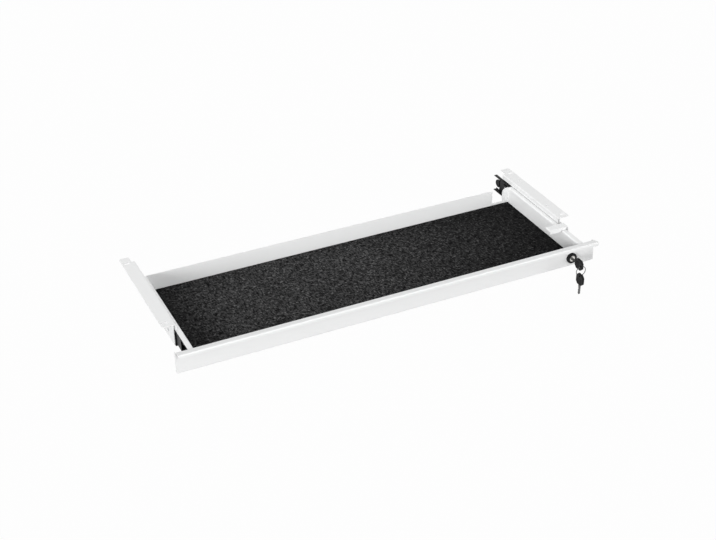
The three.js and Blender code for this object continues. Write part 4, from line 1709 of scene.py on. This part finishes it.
@dataclass
class Key:
    """A key with a chamfered black head, and a dark steel blade with grooves and bits."""

    pose: KeyPose
    x: float = LOCK_X
    lock_z: float = LOCK_Z
    end_y: float = -273.0
    hang_y: float = RING_Y
    hang_top_z: float = -63.2
    head_length: float = 27.5
    head_half: float = 12.5
    head_thickness: float = 5.5
    chamfer: float = 6.0
    hole_at: float = 5.0
    hole_radius: float = 2.5
    blade_half: float = 3.5
    blade_thickness: float = 2.0
    blade_length: float = 26.0
    tang: float = 8.0
    tip: float = 3.5
    bit_start: float = 8.0
    bit_pitch: float = 3.6
    bit_depths: tuple[float, ...] = (1.2, 2.0, 0.8, 1.6)
    bit_flat: float = 0.3
    groove_depth: float = 0.45
    groove_half: float = 0.7
    grooves: tuple[tuple[int, float], ...] = ((-1, -0.9), (1, 0.4))
    corner: float = 1.2
    head_round: float = 0.8
    recess_depth: float = 0.5
    recess_start: float = 10.5
    recess_end: float = 3.5
    recess_half: float = 8.2
    ribs: int = 4
    rib_start: float = 12.2
    rib_pitch: float = 2.9
    rib_width: float = 1.3
    rib_half: float = 6.6
    rib_root: float = 0.3
    rib_low: float = 0.12
    edge_round: float = 0.15
    blade_round: float = 0.1

    def place(self, along: float, across: float) -> Pair:
        """Turn a distance from the head's end and an offset from the middle line into Y and Z.

        Args:
            along: the distance from the head's end.
            across: the offset from the middle line.

        Returns:
            The place's Y and Z coordinates.
        """
        if self.pose is KeyPose.IN_LOCK:
            return self.end_y + along, self.lock_z + across
        return self.hang_y + across, self.hang_top_z - along

    def slab(self, name: str, corners: Outline, low: float, high: float) -> Object:
        """Cut a slab whose outline is given along and across the key."""
        placed = [(*self.place(*corner[:2]), *corner[2:]) for corner in corners]
        return Bench.prism(name, Axis.X, (self.x + low, self.x + high), placed)

    def head(self) -> Object:
        """Mould the head: an eight-cornered slab with ribbed recesses and the ring's hole.

        Returns:
            The head.
        """
        low = self.head_half - self.chamfer
        far = self.head_length
        half = self.head_thickness / 2
        lower = [
            (0, -low), (self.chamfer, -self.head_half), (far - self.chamfer, -self.head_half),
            (far, -low),
        ]
        upper = [(along, -across) for along, across in reversed(lower)]
        outline = [(*corner, self.corner) for corner in lower + upper]
        head = self.slab(f"{self.pose.value}_key_grip", outline, -half, half)
        Bench.soften(head, self.head_round, segments=4, angle=60)
        floor = half - self.recess_depth
        recess = rectangle(
            self.recess_start, -self.recess_half, far - self.recess_end, self.recess_half, 2.0,
        )
        for side in (-1, 1):
            ends = ordered(side * floor, side * (half + 1))
            Bench.boolean(head, Join.CUT, self.slab("recess", recess, *ends))
            ends = ordered(side * (floor - self.rib_root), side * (half - self.rib_low))
            for i in range(self.ribs):
                start = self.rib_start + i * self.rib_pitch
                rib = rectangle(start, -self.rib_half, start + self.rib_width, self.rib_half, 0.6)
                Bench.boolean(head, Join.ADD, self.slab("rib", rib, *ends))
        place = self.place(self.hole_at, 0)
        Bench.drill(head, Axis.X, around(self.x, 5), place, self.hole_radius, sides=40)
        return Bench.soften(head, self.edge_round, angle=50)

    def blade(self) -> Object:
        """Cut the blade, mill its two grooves and file its bits.

        Returns:
            The blade.
        """
        root = self.head_length - self.tang
        tip = self.head_length + self.blade_length
        half = self.blade_thickness / 2
        wide = self.blade_half
        blade = self.slab(f"{self.pose.value}_key_shaft", [
            (root, -wide), (tip - self.tip, -wide, 0.6), (tip, 0, 0.8), (tip - self.tip, wide, 0.6),
            (root, wide),
        ], -half, half)
        for i, depth in enumerate(self.bit_depths):
            middle = self.head_length + self.bit_start + self.bit_pitch * i
            flat = self.bit_pitch * self.bit_flat
            notch = self.slab("notch", [
                (middle - flat - depth * 2, wide + depth), (middle - flat / 2, wide - depth),
                (middle + flat / 2, wide - depth), (middle + flat + depth * 2, wide + depth),
            ], *around(0))
            Bench.boolean(blade, Join.CUT, notch)
        for side, offset in self.grooves:
            ends = ordered(side * (half - self.groove_depth), side * (half + 1))
            low, high = around(offset, self.groove_half)
            groove = rectangle(self.head_length - CLEAR, low, tip + 1, high)
            Bench.boolean(blade, Join.CUT, self.slab("groove", groove, *ends))
        return Bench.soften(blade, self.blade_round)

    def dress(self, wardrobe: Wardrobe) -> None:
        """Build the key and give it its finishes.

        Args:
            wardrobe: holds the finishes and hangs the pieces.
        """
        label = self.pose.value
        body = "key" if self.pose is KeyPose.IN_LOCK else "spare_key"
        wardrobe.dress(self.head(), "black_plastic", body, f"{label}_key_head")
        wardrobe.dress(self.blade(), "key_steel", body, f"{label}_key_blade")


@dataclass
class SplitRing:
    """The split ring that joins the keys: flat wire wound twice round."""

    x: float = LOCK_X
    y: float = RING_Y
    z: float = -55.1
    radius: float = 12.0
    wire_width: float = 1.5
    wire_height: float = 0.60
    pitch: float = 0.64
    wire_round: float = 0.25
    turns: int = 2
    steps: int = 72
    start_deg: float = -140.0

    def build(self) -> Object:
        """Wind the wire's outline twice round the ring's axis and close its ends.

        Returns:
            The ring.
        """
        half = self.wire_width / 2
        low = -self.pitch * (self.turns + 1) / 2
        outline = rounded(rectangle(
            self.radius - half, low, self.radius + half, low + self.wire_height, self.wire_round,
        ))
        points = [Axis.Z.place(0, u, v) for u, v in outline]
        wire = Bench.draw("split_key_ring", [*points, points[0]], close=False)
        Bench.hold(wire)
        bpy.ops.object.transform_apply(location=True, rotation=True, scale=True)
        with Bench.edit(wire):
            bpy.ops.mesh.remove_doubles(threshold=MERGE_DISTANCE)
        Bench.modify(
            wire, "SCREW", axis="Y", angle=math.tau, screw_offset=mm(self.pitch),
            iterations=self.turns, steps=self.steps, render_steps=self.steps,
        )
        with Bench.edit(wire):
            bpy.ops.mesh.select_mode(type="EDGE")
            bpy.ops.mesh.select_all(action="DESELECT")
            bpy.ops.mesh.select_non_manifold()
            bpy.ops.mesh.fill_holes(sides=0)
            bpy.ops.mesh.select_all(action="SELECT")
            bpy.ops.mesh.normals_make_consistent(inside=False)
        wire.location = mm(self.x, self.y, self.z)
        wire.rotation_euler = (0, math.radians(self.start_deg), 0)
        return wire

    def dress(self, wardrobe: Wardrobe) -> None:
        """Wind the ring and give it its finish."""
        wardrobe.dress(self.build(), "key_steel", "ring", "key_ring")


@dataclass(frozen=True)
class Lamp:
    """A large soft lamp that shines at the drawer's middle."""

    name: str
    towards: Corner
    share: float
    size: float = 2.8
    distance: float = 5.0

    def build(self, target: Vector) -> None:
        """Hang the lamp in its direction from the target.

        Args:
            target: the point that it shines at.
        """
        Bench.clear()
        direction = Vector(self.towards).normalized()
        bpy.ops.object.light_add(type="AREA", location=target + direction * self.distance)
        lamp = bpy.context.object
        lamp.name = self.name
        lamp.data.shape = "SQUARE"
        lamp.data.size = self.size
        lamp.data.energy = self.share * (math.pi * self.distance) ** 2
        lamp.rotation_euler = direction.to_track_quat("Z", "Y").to_euler()
        lamp.visible_camera = False
        lamp.visible_glossy = False


@dataclass
class Studio:
    """White floor and surroundings, soft lamps and the photograph's camera."""

    camera_place: Corner = (-1.0791, -2.2965, 1.4828)
    camera_right: Corner = (0.90103761, -0.43366916, -0.00789277)
    camera_up: Corner = (0.2334486, 0.46954081, 0.8514888)
    camera_forward: Corner = (0.36555845, 0.76906599, -0.52431338)
    lens: float = 65.32
    sensor: float = 36.0
    clip: Pair = (0.05, 60.0)
    target: Corner = (0.0, -0.05, -0.03)
    surround: float = 0.45
    floor_z: float = -0.45
    floor_size: float = 14.0
    floor_rises: tuple[Corner, ...] = ((0.0, 1.2, 0.5), (0.0, 0.5, 3.0))
    floor_colour: float = 0.12
    floor_shadow: float = 0.016
    lamps: tuple[Lamp, ...] = (
        Lamp("front_lamp", (0.0, -1.0, 0.45), 0.33, size=2.2),
        Lamp("left_lamp", (-1.0, -0.55, 0.25), 0.78, size=3.0, distance=8.0),
        Lamp("right_lamp", (1.0, -0.65, 0.25), 0.18, size=2.2),
        Lamp("back_lamp", (0.1, 0.80, 0.75), 0.36),
    )

    def camera(self) -> None:
        """Put the camera where the photograph was taken from."""
        Bench.clear()
        bpy.ops.object.camera_add()
        camera = bpy.context.object
        camera.name = "photo_camera"
        right, up, forward = (
            Vector(v) for v in (self.camera_right, self.camera_up, self.camera_forward)
        )
        turn = Matrix((right, up, -forward)).transposed().to_4x4()
        camera.matrix_world = Matrix.Translation(Vector(self.camera_place)) @ turn
        camera.data.sensor_fit = "HORIZONTAL"
        camera.data.sensor_width = self.sensor
        camera.data.lens = self.lens
        camera.data.clip_start, camera.data.clip_end = self.clip
        bpy.context.scene.camera = camera

    @staticmethod
    def seen_directly(shader: Shader) -> Signal:
        """Give one for camera, glossy and transmission rays and zero for the rest.

        Args:
            shader: the tree that the nodes are added to.

        Returns:
            The signal.
        """
        rays = [
            shader.node("ShaderNodeLightPath", {}, {}, output=name)
            for name in ("Is Camera Ray", "Is Glossy Ray", "Is Transmission Ray")
        ]
        return (rays[0] + rays[1] + rays[2]).above(0.5)

    def world(self) -> None:
        """Light the scene evenly and show white behind it."""
        world = bpy.data.worlds.new("white_surround")
        bpy.context.scene.world = world
        shader = Shader(world)
        soft = shader.node("ShaderNodeBackground", {}, {"Color": grey(1), "Strength": self.surround})
        white = shader.node("ShaderNodeBackground", {}, {"Color": grey(1), "Strength": 1.0})
        seen = self.seen_directly(shader)
        mixed = shader.node("ShaderNodeMixShader", {}, {0: seen, 1: soft, 2: white})
        shader.node("ShaderNodeOutputWorld", {}, {"Surface": mixed})

    def floor(self) -> None:
        """Lay a white floor that shows as white and keeps a faint shadow."""
        Bench.clear()
        bpy.ops.mesh.primitive_plane_add(size=self.floor_size, location=(0, 0, self.floor_z))
        floor = bpy.context.object
        floor.name = "studio_floor"
        with Bench.edit(floor):
            Bench.choose(floor, Kind.EDGE, lambda edge: edge.verts[0].co.y > 0 < edge.verts[1].co.y)
            for rise in self.floor_rises:
                bpy.ops.mesh.extrude_region_move(TRANSFORM_OT_translate={"value": rise})
        shader = Shader(bpy.data.materials.new("studio_floor"))
        matt = shader.node("ShaderNodeBsdfDiffuse", {}, {"Color": grey(self.floor_colour)})
        white = shader.node("ShaderNodeEmission", {}, {"Color": grey(1), "Strength": 1.0})
        part = self.seen_directly(shader) * (1 - self.floor_shadow)
        mixed = shader.node("ShaderNodeMixShader", {}, {0: part, 1: matt, 2: white})
        shader.node("ShaderNodeOutputMaterial", {}, {"Surface": mixed})
        floor.data.materials.append(shader.owner)

    def build(self) -> None:
        """Set up the whole studio."""
        self.camera()
        self.world()
        self.floor()
        for lamp in self.lamps:
            lamp.build(Vector(self.target))
        bpy.context.scene.view_settings.view_transform = "Standard"


def main() -> None:
    """Build every sub-assembly, dress it and set up the studio."""
    wardrobe = Wardrobe()
    parts = (
        DeskBracket(
            "left", plate_y=-147.5, slots_y=(-132.5, 128.5), back_y=132.0, tab_y=154.0,
            web_setback=6.0, web_end_setback=0.25,
        ),
        DeskBracket(
            "right", plate_y=-122.5, slots_y=(-108.5, 122.5),
            holes=((481.5, -59.5), (490.6, 78.5)), under_catch=True,
        ),
        CamCatch(),
        Slide("left"),
        Slide("right"),
        Tray(),
        FrontPanel(),
        FeltMat(),
        CamLock(),
        Key(KeyPose.IN_LOCK),
        Key(KeyPose.HANGING),
        SplitRing(),
    )
    for part in parts:
        part.dress(wardrobe)
    Studio().build()
    log.info("%d pieces stand for %d CAD nodes", wardrobe.count, len(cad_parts))


if __name__ == "__main__":
    main()
